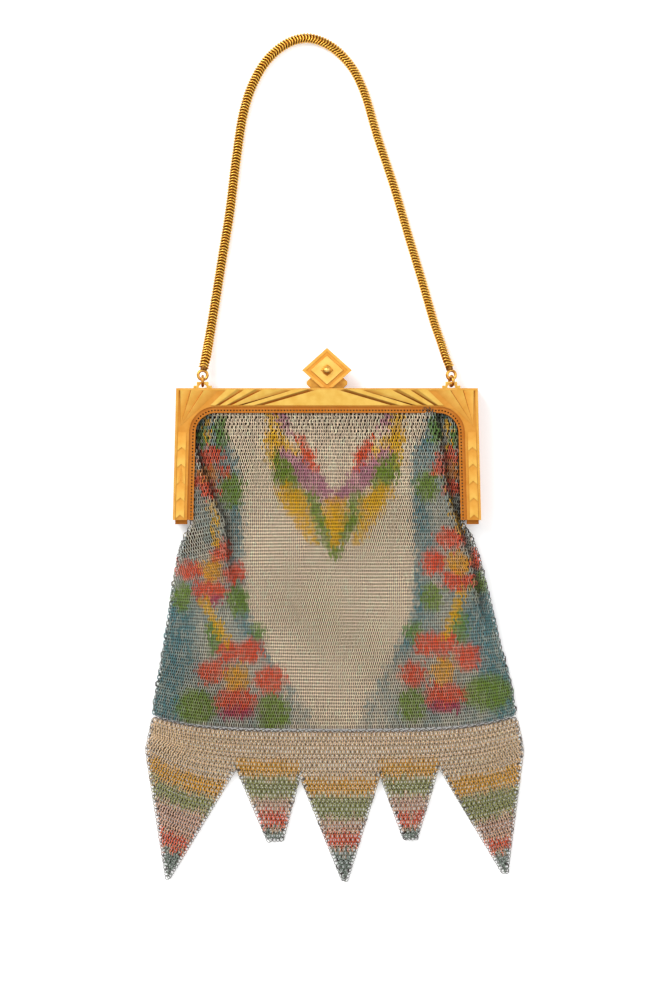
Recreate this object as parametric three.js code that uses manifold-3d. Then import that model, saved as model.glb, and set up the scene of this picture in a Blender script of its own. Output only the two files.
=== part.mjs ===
// Metal mesh purse lying on its back: a gilt hinged frame in two stamped halves, each pierced
// along its inner edge to hold a pouch of fine ring mesh that ends in a skirt of five points,
// a two-part diamond clasp on top, and a flat snake chain on a link and a lug at each shoulder.
// Millimetres. X runs across the purse, Y up towards the chain, Z out of the surface it lies on.
// The origin is the middle of the top bar on the back face of the frame.
import * as THREE from "three";
import { ConvexGeometry } from "three/addons/geometries/ConvexGeometry.js";
import { mergeVertices } from "three/addons/utils/BufferGeometryUtils.js";
import Module from "manifold-3d";

const wasm = await Module();
wasm.setup();

// Frame
const frameWidth = 105; // across the shoulders
const frameHeight = 47.4; // top edge to feet
const frameSplay = 1.2; // how far each foot stands outside its shoulder
const barHeight = 6.4; // decorated part of the top bar
const armWidth = 4.9; // decorated part of an arm
const railWidth = 2.2; // pierced rail inside the bar and arms
const mouthRadius = 7; // corner of the rail's inner edge
const halfDepth = 5.7; // one half of the frame, front to back, with its relief
const halvesGap = 0.3; // between the closed halves
const frameWall = 0.8; // stamped metal
const railSetback = 0.9; // rail behind the plain face
const railThickness = 0.6;
const reliefHeight = 0.6;
const borderWidth = 0.8;
const borderHeight = 0.3;
const holeWidth = 0.66; // pierced holes for the mesh
const holePitch = 1.1;
const holeSides = 5;
const holeInset = 0.85; // the rail's edge to the middle of the holes

// Relief on the bar: a row for each ridge line from the centre out. low and high are where the line
// meets the bar's lower and upper edge, as shares of half the frame's width.
const fanLines = [
  { low: 0.425, high: 0.06 },
  { low: 0.561, high: 0.215 },
  { low: 0.634, high: 0.422 },
  { low: 0.711, high: 0.545 },
  { low: 0.774, high: 0.663 },
];
const fanMargin = 0.4; // plain metal left above and below the fan
const fanCrest = 0.55; // flat share of each blade before it slopes away
// Shoulder rays: shares of half the width where each one meets the top edge. All start at one point.
const shoulderRays = [0.719, 0.817, 0.9, 0.972];
const shoulderDrop = 13.2; // top edge to the point where the rays meet
const armBladeCount = 5;
const armBladeWidth = 2.9;
const armBladeTop = 15.2; // top edge to the first blade
const armBladeFirst = 5.3; // length of the first blade to its notch
const notchHeight = 1.25;
const toeMargin = 3.4; // last notch to the foot
const rayStep = 0.55; // how far a ray's raised end slopes out, down to its root
const bladeStart = 0.05; // height at which a blade or ray rises from the face

// Hinge at the feet
const knuckleRadius = 1.9;
const pinRadius = 0.7;
const headRadius = 1.2;
const headThickness = 0.5;
const runningGap = 0.3;
const footLift = 1.5; // hinge left showing below the frame's face
const sillThickness = 0.7; // lip over the hinge, below the face

// Clasp
const claspWidth = 17.3;
const claspHeight = 15.6;
const claspRise = 6.3; // centre above the bar
const claspPlate = 1.2;
const claspStepWidth = 11.6; // raised inner diamond
const claspStep = 0.9;
const claspRimWidth = 1.4;
const claspRimHeight = 0.35;
const studWidth = 4.8;
const studHeight = 2.6;
const backClaspWidth = 15.4;
const backClaspHeight = 13.8;
const backClaspRise = 1.9;
const tabDepth = 1.6; // how far a plate reaches inside the bar
const cornerClip = 0.6;

// Chain and its fittings
const lugInset = 9.1; // outside of the bar to the middle of a lug
const lugWidth = 6.4;
const lugStepWidth = 4.1;
const lugHeight = 2.3;
const lugStep = 1.0; // height of the wide step
const lugThickness = 0.8;
const lugEyeRadius = 1.4;
const linkRadius = 1.72; // to the wire's centre
const linkWire = 0.8;
const eyeletRadius = 1.6;
const eyeletWire = 1.05;
const capLength = 2.2;
const chainWidth = 3.6;
const chainThickness = 3.0;
const chainSides = 8;
const chainSteps = 48;

// Mesh
const meshThickness = 1.0;
const meshTuck = 1.1; // mesh hidden behind the rail
const meshLength = 115.8; // middle of the top bar to the hem seam
const hemWidth = 126.8;
const hemOffset = 1.9; // the hem lies a little to the right of the frame
const hemRise = 4.6; // hem ends above its middle
const railGap = 0.3; // between the mesh and the back of the rail
const edgeGap = 0.4; // between them along the closed edges
const meshPuff = 1.3; // how far the front mesh stands off the back one in the middle
const backSettle = 9; // distance in which the back mesh drops to the surface
const frontSettle = 36; // and the front mesh
const mouthRows = 8;
const bodyRows = 12;
const meshColumns = 16;

// Sides of the pouch below the feet. down is the share of the way from the feet to the hem;
// left and right are shares of half the hem's width, measured from the frame's middle line.
const sideOutline = [
  { down: 0.0, left: 0.742, right: 0.745 },
  { down: 0.06, left: 0.785, right: 0.792 },
  { down: 0.16, left: 0.818, right: 0.833 },
  { down: 0.37, left: 0.857, right: 0.893 },
  { down: 0.62, left: 0.896, right: 0.954 },
  { down: 0.82, left: 0.934, right: 1.012 },
  { down: 1.0, left: 0.965, right: 1.033 },
];

// Folds of the front mesh. x shares are of half the frame's width, y shares of the mesh's length,
// width and height are shares of the mouth's corner radius and of the half's depth.
const folds = [
  { x0: 0.76, y0: 0.14, x1: 0.93, y1: 0.5, width: 0.62, height: 0.62 }, // right pleat
  { x0: -0.68, y0: 0.27, x1: -0.69, y1: 0.5, width: 0.5, height: 0.5 }, // left pleat
  { x0: -0.96, y0: 0.47, x1: -0.72, y1: 0.42, width: 0.4, height: 0.26 }, // left tuck
  { x0: -0.8, y0: 0.1, x1: -0.83, y1: 0.3, width: 0.4, height: 0.26 }, // beside the left arm
  { x0: -0.52, y0: 0.08, x1: -0.55, y1: 0.24, width: 0.5, height: 0.22 }, // gather under the bar
  { x0: 0.5, y0: 0.1, x1: 0.53, y1: 0.28, width: 0.5, height: 0.2 }, // gather under the bar
];

// Skirt of points below the hem. across is the share of the hem's half width from the frame's middle
// line, drop the share of the longest point. A tip's flat is cut across by blunt, in the same shares.
const skirtLength = 51.8;
const skirtCorner = { left: -0.996, right: 1.084, drop: 0.12 };
const skirtPoints = [
  { valley: null, tip: -0.877, drop: 0.985, blunt: 0.012 },
  { valley: { across: -0.5, drop: 0.245 }, tip: -0.285, drop: 0.735, blunt: 0.042 },
  { valley: { across: -0.15, drop: 0.295 }, tip: 0.098, drop: 1.0, blunt: 0.014 },
  { valley: { across: 0.292, drop: 0.29 }, tip: 0.46, drop: 0.725, blunt: 0.036 },
  { valley: { across: 0.617, drop: 0.235 }, tip: 0.981, drop: 0.95, blunt: 0.014 },
];
const skirtGap = 0.3;

// The chain's route as it lies, from the left fitting to the right one: x, y and height of its centre.
const chainRoute = [
  [-42.4, 14.6, 4.2],
  [-41.2, 21.5, 2.2],
  [-39.0, 35.0, 1.5],
  [-36.6, 50.0, 1.5],
  [-34.0, 66.0, 1.5],
  [-31.8, 84.0, 1.5],
  [-29.0, 101.5, 1.5],
  [-25.6, 111.5, 1.5],
  [-20.6, 119.6, 1.5],
  [-13.6, 125.2, 1.5],
  [-6.6, 126.9, 1.5],
  [1.0, 124.2, 1.5],
  [8.0, 117.6, 1.5],
  [12.6, 109.0, 1.5],
  [17.6, 92.5, 1.5],
  [23.4, 75.0, 1.5],
  [28.4, 58.0, 1.5],
  [33.2, 42.0, 1.5],
  [37.6, 27.0, 1.5],
  [40.2, 19.6, 2.5],
  [41.9, 14.2, 4.2],
];

// Places that follow from the sizes
const yTop = (barHeight + railWidth) / 2;
const yFoot = yTop - frameHeight;
const yMouth = yTop - barHeight - railWidth;
const totalDepth = 2 * halfDepth + halvesGap;
const zMiddle = totalDepth / 2;
const zFace = totalDepth - reliefHeight; // plain face of the front half
const zRail = zFace - railSetback; // front of its rail
const splayPerDrop = frameSplay / frameHeight;

const materials = {
  gilt: new THREE.MeshStandardMaterial({ color: "#e3b04b", metalness: 1, roughness: 0.38 }),
  giltDark: new THREE.MeshStandardMaterial({ color: "#b9823a", metalness: 1, roughness: 0.45 }),
  chain: new THREE.MeshStandardMaterial({ color: "#dca53a", metalness: 1, roughness: 0.3 }),
  mesh: new THREE.MeshStandardMaterial({ color: "#b49c80", metalness: 0.5, roughness: 0.55 }),
};

// A three.js geometry as a solid that can be joined and cut.
function solid(geometry) {
  const bare = geometry.index ? geometry.toNonIndexed() : geometry.clone();
  const positions = new THREE.BufferGeometry().setAttribute("position", bare.getAttribute("position"));
  const merged = mergeVertices(positions, 1e-4);
  return new wasm.Manifold(
    new wasm.Mesh({
      numProp: 3,
      vertProperties: new Float32Array(merged.attributes.position.array),
      triVerts: new Uint32Array(merged.index.array),
    }),
  );
}

// A solid as a three.js geometry.
function geometryOf(shape) {
  const mesh = shape.getMesh();
  const stride = mesh.numProp;
  const positions = new Float32Array(mesh.numVert * 3);
  for (let i = 0; i < mesh.numVert; i++) {
    positions.set(mesh.vertProperties.subarray(i * stride, i * stride + 3), i * 3);
  }
  const geometry = new THREE.BufferGeometry();
  geometry.setAttribute("position", new THREE.BufferAttribute(positions, 3));
  geometry.setIndex(new THREE.BufferAttribute(new Uint32Array(mesh.triVerts), 1));
  geometry.computeVertexNormals();
  return geometry;
}

function joined(shapes) {
  return shapes.reduce((all, next) => all.add(next));
}

function box(x0, x1, y0, y1, z0, z1) {
  const geometry = new THREE.BoxGeometry(x1 - x0, y1 - y0, z1 - z0);
  geometry.translate((x0 + x1) / 2, (y0 + y1) / 2, (z0 + z1) / 2);
  return solid(geometry);
}

function hull(points) {
  return solid(new ConvexGeometry(points.map(([x, y, z]) => new THREE.Vector3(x, y, z))));
}

function plate(shape, z0, z1, curveSegments = 8) {
  const geometry = new THREE.ExtrudeGeometry(shape, { depth: z1 - z0, bevelEnabled: false, curveSegments });
  geometry.translate(0, 0, z0);
  return solid(geometry);
}

function cylinderAlongX(x0, x1, y, z, radius, sides = 16) {
  const geometry = new THREE.CylinderGeometry(radius, radius, Math.abs(x1 - x0), sides);
  geometry.rotateZ(Math.PI / 2);
  geometry.translate((x0 + x1) / 2, y, z);
  return solid(geometry);
}

function mirroredInX(shape) {
  return shape.mirror([1, 0, 0]);
}

function turnedToBack(shape) {
  return shape.mirror([0, 0, 1]).translate([0, 0, totalDepth]);
}

// Half the frame's width to the rail's inner edge, at height y.
function mouthHalf(y) {
  return frameWidth / 2 - armWidth - railWidth + (yTop - y) * splayPerDrop;
}

// The inner edge of the frame moved outwards by the offset: foot, corner, corner, foot, with its radius.
function innerEdge(offset) {
  const yBar = yMouth + offset;
  const corner = new THREE.Vector2(mouthHalf(yBar) + offset, yBar);
  const foot = new THREE.Vector2(mouthHalf(yFoot) + offset, yFoot);
  const radius = mouthRadius + offset;
  const alongArm = foot.clone().sub(corner).normalize();
  const halfAngle = Math.acos(-alongArm.x) / 2;
  const reach = radius / Math.tan(halfAngle);
  const barEnd = new THREE.Vector2(corner.x - reach, yBar);
  const armStart = corner.clone().addScaledVector(alongArm, reach);
  const centre = new THREE.Vector2(barEnd.x, yBar - radius);
  const armAngle = Math.atan2(armStart.y - centre.y, armStart.x - centre.x);
  return { foot, armStart, barEnd, centre, radius, armAngle };
}

// What lies inside that edge, run a little past the feet.
function mouthShape(offset) {
  const edge = innerEdge(offset);
  const over = edge.foot.clone().sub(edge.armStart).setLength(1).add(edge.foot);
  const shape = new THREE.Shape();
  shape.moveTo(-over.x, over.y);
  shape.lineTo(over.x, over.y);
  followInnerEdge(shape, edge);
  return shape;
}

// Draws the edge from the right arm over the bar to the left arm.
function followInnerEdge(path, edge) {
  path.lineTo(edge.armStart.x, edge.armStart.y);
  path.absarc(edge.centre.x, edge.centre.y, edge.radius, edge.armAngle, Math.PI / 2, false);
  path.lineTo(-edge.barEnd.x, edge.barEnd.y);
  path.absarc(-edge.centre.x, edge.centre.y, edge.radius, Math.PI / 2, Math.PI - edge.armAngle, false);
}

// What lies inside the frame's outer edge, moved in by the inset at the top and sides.
function outerShape(inset) {
  const shape = new THREE.Shape();
  const half = frameWidth / 2 - inset;
  shape.moveTo(-half - frameSplay, yFoot);
  shape.lineTo(half + frameSplay, yFoot);
  shape.lineTo(half, yTop - inset);
  shape.lineTo(-half, yTop - inset);
  return shape;
}

// The frame's U between its outer edge, moved in, and its inner edge, moved out.
function frameBand(inset, offset, z0, z1) {
  return plate(outerShape(inset), z0, z1).subtract(plate(mouthShape(offset), z0 - 1, z1 + 1));
}

// Blades of the fan on the right half of the bar. Each stands proud along its outer line and slopes away.
function fanBlades(z0, z1) {
  const yLow = yMouth + railWidth + fanMargin;
  const yHigh = yTop - fanMargin;
  const half = frameWidth / 2;
  const at = (low, high, y) => half * (low + ((high - low) * (y - yLow)) / (yHigh - yLow));
  const rim = (line, z) => [
    [at(line.low, line.high, yLow), yLow, z],
    [at(line.low, line.high, yHigh), yHigh, z],
  ];
  const blades = [];
  for (let i = 0; i + 1 < fanLines.length; i++) {
    const inner = fanLines[i];
    const outer = fanLines[i + 1];
    const crest = {
      low: outer.low + (inner.low - outer.low) * fanCrest,
      high: outer.high + (inner.high - outer.high) * fanCrest,
    };
    const foot = [...rim(inner, z0), ...rim(outer, z0), ...rim(inner, zFace + bladeStart)];
    blades.push(hull([...foot, ...rim(outer, z1), ...rim(crest, z1)]));
  }
  const middle = fanLines[0];
  const left = { low: -middle.low, high: -middle.high };
  blades.push(hull([...rim(middle, z0), ...rim(left, z0), ...rim(middle, z1), ...rim(left, z1)]));
  return blades;
}

// Rays on the right shoulder, from one point beside the arm up to the top edge.
function shoulderBlades(z0, z1) {
  const half = frameWidth / 2;
  const yHigh = yTop - borderWidth;
  const start = [half * shoulderRays[shoulderRays.length - 1], yTop - shoulderDrop];
  const blades = [];
  for (let i = 0; i + 1 < shoulderRays.length; i++) {
    const inner = [half * shoulderRays[i], yHigh];
    const outer = [half * shoulderRays[i + 1], yHigh];
    blades.push(
      hull([
        [...start, z0],
        [...inner, z0],
        [outer[0] + rayStep, outer[1], z0],
        [...start, (z0 + z1) / 2],
        [...outer, z1],
        [...inner, zFace + bladeStart],
      ]),
    );
  }
  return blades;
}

// Blades down the right arm. Each rises from the face to a notched end that lies over the next one.
function armBlades(z0, z1) {
  const middle = (y) => frameWidth / 2 - armWidth / 2 + (yTop - y) * splayPerDrop;
  const first = yTop - armBladeTop;
  const lastNotch = yFoot + toeMargin;
  const step = (first - armBladeFirst - lastNotch) / (armBladeCount - 1);
  const blades = [];
  for (let i = 0; i < armBladeCount; i++) {
    const notch = lastNotch + (armBladeCount - 1 - i) * step;
    const start = i === 0 ? first : notch + step + bladeStart;
    const tip = notch - notchHeight;
    const low = zFace + bladeStart;
    const atNotch = low + ((z1 - low) * (start - notch)) / (start - tip);
    for (const side of [-armBladeWidth / 2, armBladeWidth / 2]) {
      const outline = [
        [middle(start), start, low],
        [middle(start) + side, start, low],
        [middle(tip) + side, tip, z1],
        [middle(notch), notch, atNotch],
      ];
      blades.push(hull([...outline, ...outline.map(([x, y]) => [x, y, z0])]));
    }
  }
  return blades;
}

// Hinge barrel at the foot. The front half has the middle knuckle and the back half the outer two.
// The frame's face ends a little above the foot, and a lower lip goes on over the barrel.
const yHinge = yFoot + knuckleRadius;
const yFace = yFoot + footLift;
const armOuter = frameWidth / 2 + frameSplay - frameWall;
const armInner = mouthHalf(yHinge) + railWidth;
const pinEnds = [armInner + headThickness + runningGap, armOuter - headThickness - runningGap];
const knuckleEnds = { inner: pinEnds[0], outer: pinEnds[1] };
const knuckleThird = (knuckleEnds.outer - knuckleEnds.inner) / 3;

function knuckle(x0, x1) {
  const barrel = cylinderAlongX(x0, x1, yHinge, zMiddle, knuckleRadius);
  const web = box(x0, x1, yFace, yHinge + knuckleRadius, zMiddle, zFace - frameWall / 2);
  return barrel.add(web);
}

// The front half as a stamped shell open at the back: face, walls, pierced rail and relief.
function frameHalf(pierced, knuckles, slots) {
  const zBack = zMiddle + halvesGap / 2;
  const zSink = zFace - frameWall / 2;
  const block = frameBand(0, railWidth, zBack, zFace);
  const pocket = frameBand(frameWall, railWidth + frameWall, zBack - 1, zFace - frameWall);
  const rail = plate(mouthShape(railWidth + frameWall / 2), zRail - railThickness, zRail);
  const outside = plate(outerShape(0), zBack, zFace + 1);
  const border = plate(outerShape(0), zSink, zFace + borderHeight);
  const insideBorder = plate(outerShape(borderWidth), zSink - 1, zFace + 1);
  const opening = plate(mouthShape(0), zBack - 1, zFace + 1);
  let half = block.subtract(pocket).add(rail.subtract(opening).intersect(outside));
  half = half.add(border.subtract(insideBorder));
  for (const blade of [
    ...fanBlades(zSink, zFace + reliefHeight),
    ...shoulderBlades(zSink, zFace + reliefHeight),
    ...armBlades(zSink, zFace + reliefHeight),
  ]) {
    half = half.add(blade).add(mirroredInX(blade));
  }
  const hingeRoom = box(
    knuckleEnds.inner - runningGap - headThickness - runningGap,
    frameWidth,
    yFoot - 1,
    yHinge + knuckleRadius + runningGap,
    zBack - 1,
    zMiddle + knuckleRadius + runningGap,
  );
  const railEnd = box(0, armInner, yFoot - 1, yFace, zBack - 1, zRail + 0.01);
  const zEnd = zMiddle + knuckleRadius + runningGap;
  const belowFace = box(0, frameWidth, yFoot - 1, yFace, zEnd - 0.01, totalDepth + 1);
  const endWall = box(armInner, armOuter, yFace, yFace + frameWall, zEnd, zFace - frameWall / 2);
  half = half.add(endWall).add(mirroredInX(endWall));
  for (const cut of [hingeRoom, railEnd, belowFace]) half = half.subtract(cut).subtract(mirroredInX(cut));
  const sill = box(armInner, armOuter, yFoot, yFace + frameWall, zEnd, zEnd + sillThickness);
  half = half.add(sill).add(mirroredInX(sill));
  for (const [x0, x1] of knuckles) {
    half = half.add(knuckle(x0, x1)).add(mirroredInX(knuckle(x0, x1)));
  }
  const bore = cylinderAlongX(armInner, frameWidth, yHinge, zMiddle, pinRadius + runningGap, 12);
  half = half.subtract(bore).subtract(mirroredInX(bore));
  for (const slot of slots) half = half.subtract(slot);
  if (pierced) half = half.subtract(holes());
  return half;
}

// The row of holes along the rail, near the mesh, spaced evenly from foot to foot.
function holes() {
  const path = new THREE.Path();
  const edge = innerEdge(holeInset);
  path.moveTo(edge.foot.x, edge.foot.y);
  followInnerEdge(path, edge);
  path.lineTo(-edge.foot.x, edge.foot.y);
  const lowest = yFace + holePitch / 2;
  const count = Math.round(path.getLength() / holePitch);
  const cutters = path
    .getSpacedPoints(count)
    .filter((point) => point.y > lowest)
    .map((point) => {
      const cutter = new THREE.CylinderGeometry(holeWidth / 2, holeWidth / 2, railThickness * 2, holeSides);
      cutter.rotateX(Math.PI / 2);
      cutter.translate(point.x, point.y, zRail - railThickness / 2);
      return solid(cutter);
    });
  return wasm.Manifold.compose(cutters);
}

// A slot through the top wall for a plate of the given width at x, y centred on z.
function topSlot(x, width, z, thickness) {
  return box(
    x - width / 2 - runningGap,
    x + width / 2 + runningGap,
    yTop - frameWall - runningGap,
    yTop + 1,
    z - thickness / 2 - runningGap,
    z + thickness / 2 + runningGap,
  );
}

function diamond(width, height, y, clip = 0) {
  const shape = new THREE.Shape();
  const w = width / 2;
  const h = height / 2;
  const rise = (clip * h) / w;
  const corners = [
    [-w + clip, y + rise],
    [-w + clip, y - rise],
    [0, y - h],
    [w - clip, y - rise],
    [w - clip, y + rise],
    [0, y + h],
  ];
  const outline = clip > 0 ? corners : [[-w, y], [0, y - h], [w, y], [0, y + h]];
  shape.setFromPoints(outline.map(([x, at]) => new THREE.Vector2(x, at)));
  return shape;
}

// A four-sided frustum standing on a plate: wide at z0, narrower at z1.
function diamondStep(width, height, y, z0, z1, shrink) {
  const ring = (w, h, z) => [[-w / 2, y, z], [0, y - h / 2, z], [w / 2, y, z], [0, y + h / 2, z]];
  return hull([...ring(width, height, z0), ...ring(width - shrink, height - shrink, z1)]);
}

const frontPlateZ = zMiddle + halvesGap / 2 + runningGap + claspPlate / 2 + frameWall / 2;
const backPlateZ = zMiddle - halvesGap / 2 - runningGap - claspPlate / 2 - frameWall / 2;

function frontClasp() {
  const y = yTop + claspRise;
  const z0 = frontPlateZ - claspPlate / 2;
  const z1 = frontPlateZ + claspPlate / 2;
  const ratio = claspHeight / claspWidth;
  const below = box(-claspWidth, claspWidth, yTop - claspHeight, yTop - tabDepth, z0 - 1, z1 + 1);
  const zClear = totalDepth + studHeight;
  const frontFace = box(-claspWidth, claspWidth, yTop - claspHeight, yTop + runningGap, z1, zClear);
  const base = plate(diamond(claspWidth, claspHeight, y), z0, z1).subtract(below);
  const hollow = claspWidth - 2 * claspRimWidth;
  const rim = plate(diamond(claspWidth, claspHeight, y), z1 - 0.2, z1 + claspRimHeight);
  const channel = plate(diamond(hollow, hollow * ratio, y), z1 - 1, z1 + 1);
  const zStep = z1 + claspStep;
  const step = diamondStep(claspStepWidth, claspStepWidth * ratio, y, z1 - 0.2, zStep, claspStep / 2);
  const stud = diamondStep(studWidth, studWidth * ratio, y, zStep - 0.2, zStep + 0.7, studWidth / 5);
  const dome = new THREE.SphereGeometry(studWidth * 0.36, 12, 8);
  dome.scale(1, 1, (studHeight - 0.3) / (studWidth * 0.36));
  dome.translate(0, y, z1 + claspStep + 0.3);
  return joined([base, rim.subtract(channel), step, stud, solid(dome)]).subtract(frontFace);
}

function backClasp() {
  const y = yTop + backClaspRise;
  const z0 = backPlateZ - claspPlate / 2;
  const z1 = backPlateZ + claspPlate / 2;
  const below = box(-claspWidth, claspWidth, yTop - backClaspHeight, yTop - tabDepth, z0 - 1, z1 + 1);
  return plate(diamond(backClaspWidth, backClaspHeight, y, cornerClip), z0, z1).subtract(below);
}

// Width of the back clasp's plate where it passes through the top wall.
const backClaspSlot = backClaspWidth * (1 - backClaspRise / (backClaspHeight / 2)) + 2 * tabDepth;
const frontClaspSlot = claspWidth * (1 - claspRise / (claspHeight / 2)) + 0.2;

// A stepped lug with a half-round eye above the bar, its foot inside the bar's top wall.
function lug(x) {
  const shape = new THREE.Shape();
  const wide = lugWidth / 2;
  const narrow = lugStepWidth / 2;
  shape.moveTo(x - wide, yTop - tabDepth);
  shape.lineTo(x + wide, yTop - tabDepth);
  shape.lineTo(x + wide, yTop + lugStep);
  shape.lineTo(x + narrow, yTop + lugStep);
  shape.lineTo(x + narrow, yTop + lugHeight);
  shape.lineTo(x - narrow, yTop + lugHeight);
  shape.lineTo(x - narrow, yTop + lugStep);
  shape.lineTo(x - wide, yTop + lugStep);
  const eye = new THREE.Path();
  eye.absarc(x, yTop + lugEyeLow, lugEyeRadius, 0, Math.PI, false);
  shape.holes.push(eye);
  return plate(shape, lugZ - lugThickness / 2, lugZ + lugThickness / 2, 10);
}
const lugEyeLow = 0.15; // flat side of the eye above the bar
const lugZ = zMiddle - halvesGap / 2 - runningGap - lugThickness / 2 - 0.2;

function ring(radius, wire, sides = 14) {
  return new THREE.TorusGeometry(radius, wire / 2, 6, sides);
}

// The link through a lug stands across the purse; the right one lies turned.
const linkY = yTop + lugEyeLow + lugEyeRadius - linkWire / 2 - runningGap + linkRadius;
function link(x, turn) {
  const geometry = ring(linkRadius, linkWire);
  geometry.rotateY(Math.PI / 2 + turn);
  geometry.translate(x, linkY, lugZ);
  return solid(geometry);
}

// The chain's end: an eyelet on the link and a block that closes the chain, soldered together.
const eyeletY = linkY + linkRadius + eyeletRadius - (linkWire + eyeletWire) / 2 - runningGap;
function chainEnd(x, towards, turn) {
  const eyelet = ring(eyeletRadius, eyeletWire);
  eyelet.rotateY(turn);
  const cap = new THREE.CylinderGeometry(chainWidth / 2 - 0.1, chainWidth / 2 - 0.3, capLength, chainSides);
  cap.scale(1, 1, chainThickness / chainWidth);
  cap.rotateY(turn);
  cap.translate(0, eyeletRadius + capLength / 2, 0);
  const end = solid(eyelet).add(solid(cap));
  const place = new THREE.Vector3(x, eyeletY, lugZ);
  const lean = new THREE.Quaternion().setFromUnitVectors(
    new THREE.Vector3(0, 1, 0),
    new THREE.Vector3(...towards).sub(place).normalize(),
  );
  const matrix = new THREE.Matrix4().makeRotationFromQuaternion(lean).setPosition(place);
  const geometry = geometryOf(end);
  geometry.applyMatrix4(matrix);
  const tip = new THREE.Vector3(0, eyeletRadius + capLength + runningGap, 0).applyMatrix4(matrix);
  return { shape: solid(geometry), tip };
}

// The snake chain as one closed tube between its two end blocks.
function chainTube(start, end) {
  const points = [start, ...chainRoute.map((point) => new THREE.Vector3(...point)), end];
  const route = new THREE.CatmullRomCurve3(points, false, "centripetal");
  const section = new THREE.Shape();
  const corner = (i) => {
    const angle = ((i + 0.5) / chainSides) * 2 * Math.PI;
    const grow = 1 / Math.cos(Math.PI / chainSides);
    return [(chainThickness / 2) * grow * Math.cos(angle), (chainWidth / 2) * grow * Math.sin(angle)];
  };
  section.moveTo(...corner(0));
  for (let i = 1; i < chainSides; i++) section.lineTo(...corner(i));
  const sweep = { steps: chainSteps, extrudePath: route, bevelEnabled: false };
  return solid(new THREE.ExtrudeGeometry(section, sweep));
}

// Pouch outline: half width from the middle line, on the left (-1) or right (+1), at height y.
const yHemSide = -meshLength + hemRise;
function pouchEdge(y, side) {
  const tuckedTop = yMouth + meshTuck;
  if (y >= yFoot) {
    const half = mouthHalf(y) + (y > yHinge + knuckleRadius ? meshTuck : 0);
    const radius = mouthRadius + meshTuck;
    const fromTop = Math.max(tuckedTop - y, 0);
    const round = fromTop < radius ? radius - Math.sqrt(radius * radius - (radius - fromTop) ** 2) : 0;
    return half - round;
  }
  const down = Math.min((yFoot - y) / (yFoot - yHemSide), 1);
  const next = Math.max(1, sideOutline.findIndex((row) => row.down >= down));
  const [a, b] = [sideOutline[next - 1], sideOutline[next]];
  const key = side < 0 ? "left" : "right";
  const share = a[key] + ((b[key] - a[key]) * (down - a.down)) / (b.down - a.down);
  return (share * hemWidth) / 2;
}

// How strongly the mesh is still held at the frame's height, from 1 at the mouth down to 0.
function held(x, y, reach) {
  const fromBar = Math.max(yMouth - y, 0);
  const out = Math.abs(x) - mouthHalf(Math.max(y, yFoot));
  const fromArm = y >= yFoot ? Math.max(-out, 0) : Math.hypot(out, yFoot - y);
  const fade = (distance) => Math.exp(-((distance / reach) ** 2));
  return 1 - (1 - fade(fromBar)) * (1 - fade(fromArm));
}

function foldHeight(x, y) {
  let height = 0;
  for (const fold of folds) {
    const from = new THREE.Vector2((fold.x0 * frameWidth) / 2, -fold.y0 * meshLength);
    const along = new THREE.Vector2((fold.x1 * frameWidth) / 2, -fold.y1 * meshLength).sub(from);
    const to = new THREE.Vector2(x, y).sub(from);
    const share = to.dot(along) / along.lengthSq();
    const across = Math.abs(to.cross(along)) / along.length();
    const ends = Math.max(0, 1 - (2 * share - 1) ** 4);
    const spread = Math.exp(-((across / (fold.width * mouthRadius)) ** 2));
    if (share > 0 && share < 1) height += fold.height * halfDepth * spread * ends;
  }
  return height;
}

// Middle surfaces of the two mesh walls.
const frontTuckZ = zRail - railThickness - railGap - meshThickness / 2;
const backTuckZ = totalDepth - frontTuckZ;
function backZ(x, y) {
  const flat = meshThickness / 2;
  return flat + (backTuckZ - flat) * held(x, y, backSettle);
}
function frontZ(x, y, left, right) {
  const middle = (left + right) / 2;
  const share = (x - middle) / ((right - left) / 2);
  const bottom = Math.min((yMouth - y) / (yMouth + meshLength), 1);
  const room = (1 - share ** 4) * (1 - bottom ** 4);
  const lying = meshThickness * 1.5 + edgeGap + meshPuff * Math.max(room, 0);
  return lying + (frontTuckZ - lying) * held(x, y, frontSettle) + foldHeight(x, y) * Math.max(room, 0);
}

// A closed slab over a grid of columns, each with x, y, top and bottom.
function slab(grid) {
  const rows = grid.length;
  const columns = grid[0].length;
  const positions = [];
  for (const level of ["top", "bottom"]) {
    for (const row of grid) for (const p of row) positions.push(p.x, p.y, p[level]);
  }
  const under = rows * columns;
  const at = (j, i) => j * columns + i;
  const faces = [];
  const quad = (a, b, c, d) => faces.push(a, b, c, a, c, d);
  for (let j = 0; j + 1 < rows; j++) {
    for (let i = 0; i + 1 < columns; i++) {
      quad(at(j, i), at(j + 1, i), at(j + 1, i + 1), at(j, i + 1));
      quad(under + at(j, i), under + at(j, i + 1), under + at(j + 1, i + 1), under + at(j + 1, i));
    }
    const last = columns - 1;
    quad(at(j, 0), under + at(j, 0), under + at(j + 1, 0), at(j + 1, 0));
    quad(at(j, last), at(j + 1, last), under + at(j + 1, last), under + at(j, last));
  }
  for (let i = 0; i + 1 < columns; i++) {
    const last = rows - 1;
    quad(at(0, i), at(0, i + 1), under + at(0, i + 1), under + at(0, i));
    quad(at(last, i), under + at(last, i), under + at(last, i + 1), at(last, i + 1));
  }
  const geometry = new THREE.BufferGeometry();
  geometry.setAttribute("position", new THREE.BufferAttribute(new Float32Array(positions), 3));
  geometry.setIndex(faces);
  return solid(geometry);
}

// Heights of the grid's rows on the middle line, close together round the mouth's corners.
function rowHeights() {
  const heights = [];
  const top = yMouth + meshTuck;
  for (let j = 0; j < mouthRows; j++) heights.push(top + (yFoot - top) * (j / mouthRows) ** 1.25);
  for (let j = 0; j <= bodyRows; j++) heights.push(yFoot + (-meshLength - yFoot) * (j / bodyRows));
  return heights;
}

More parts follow.
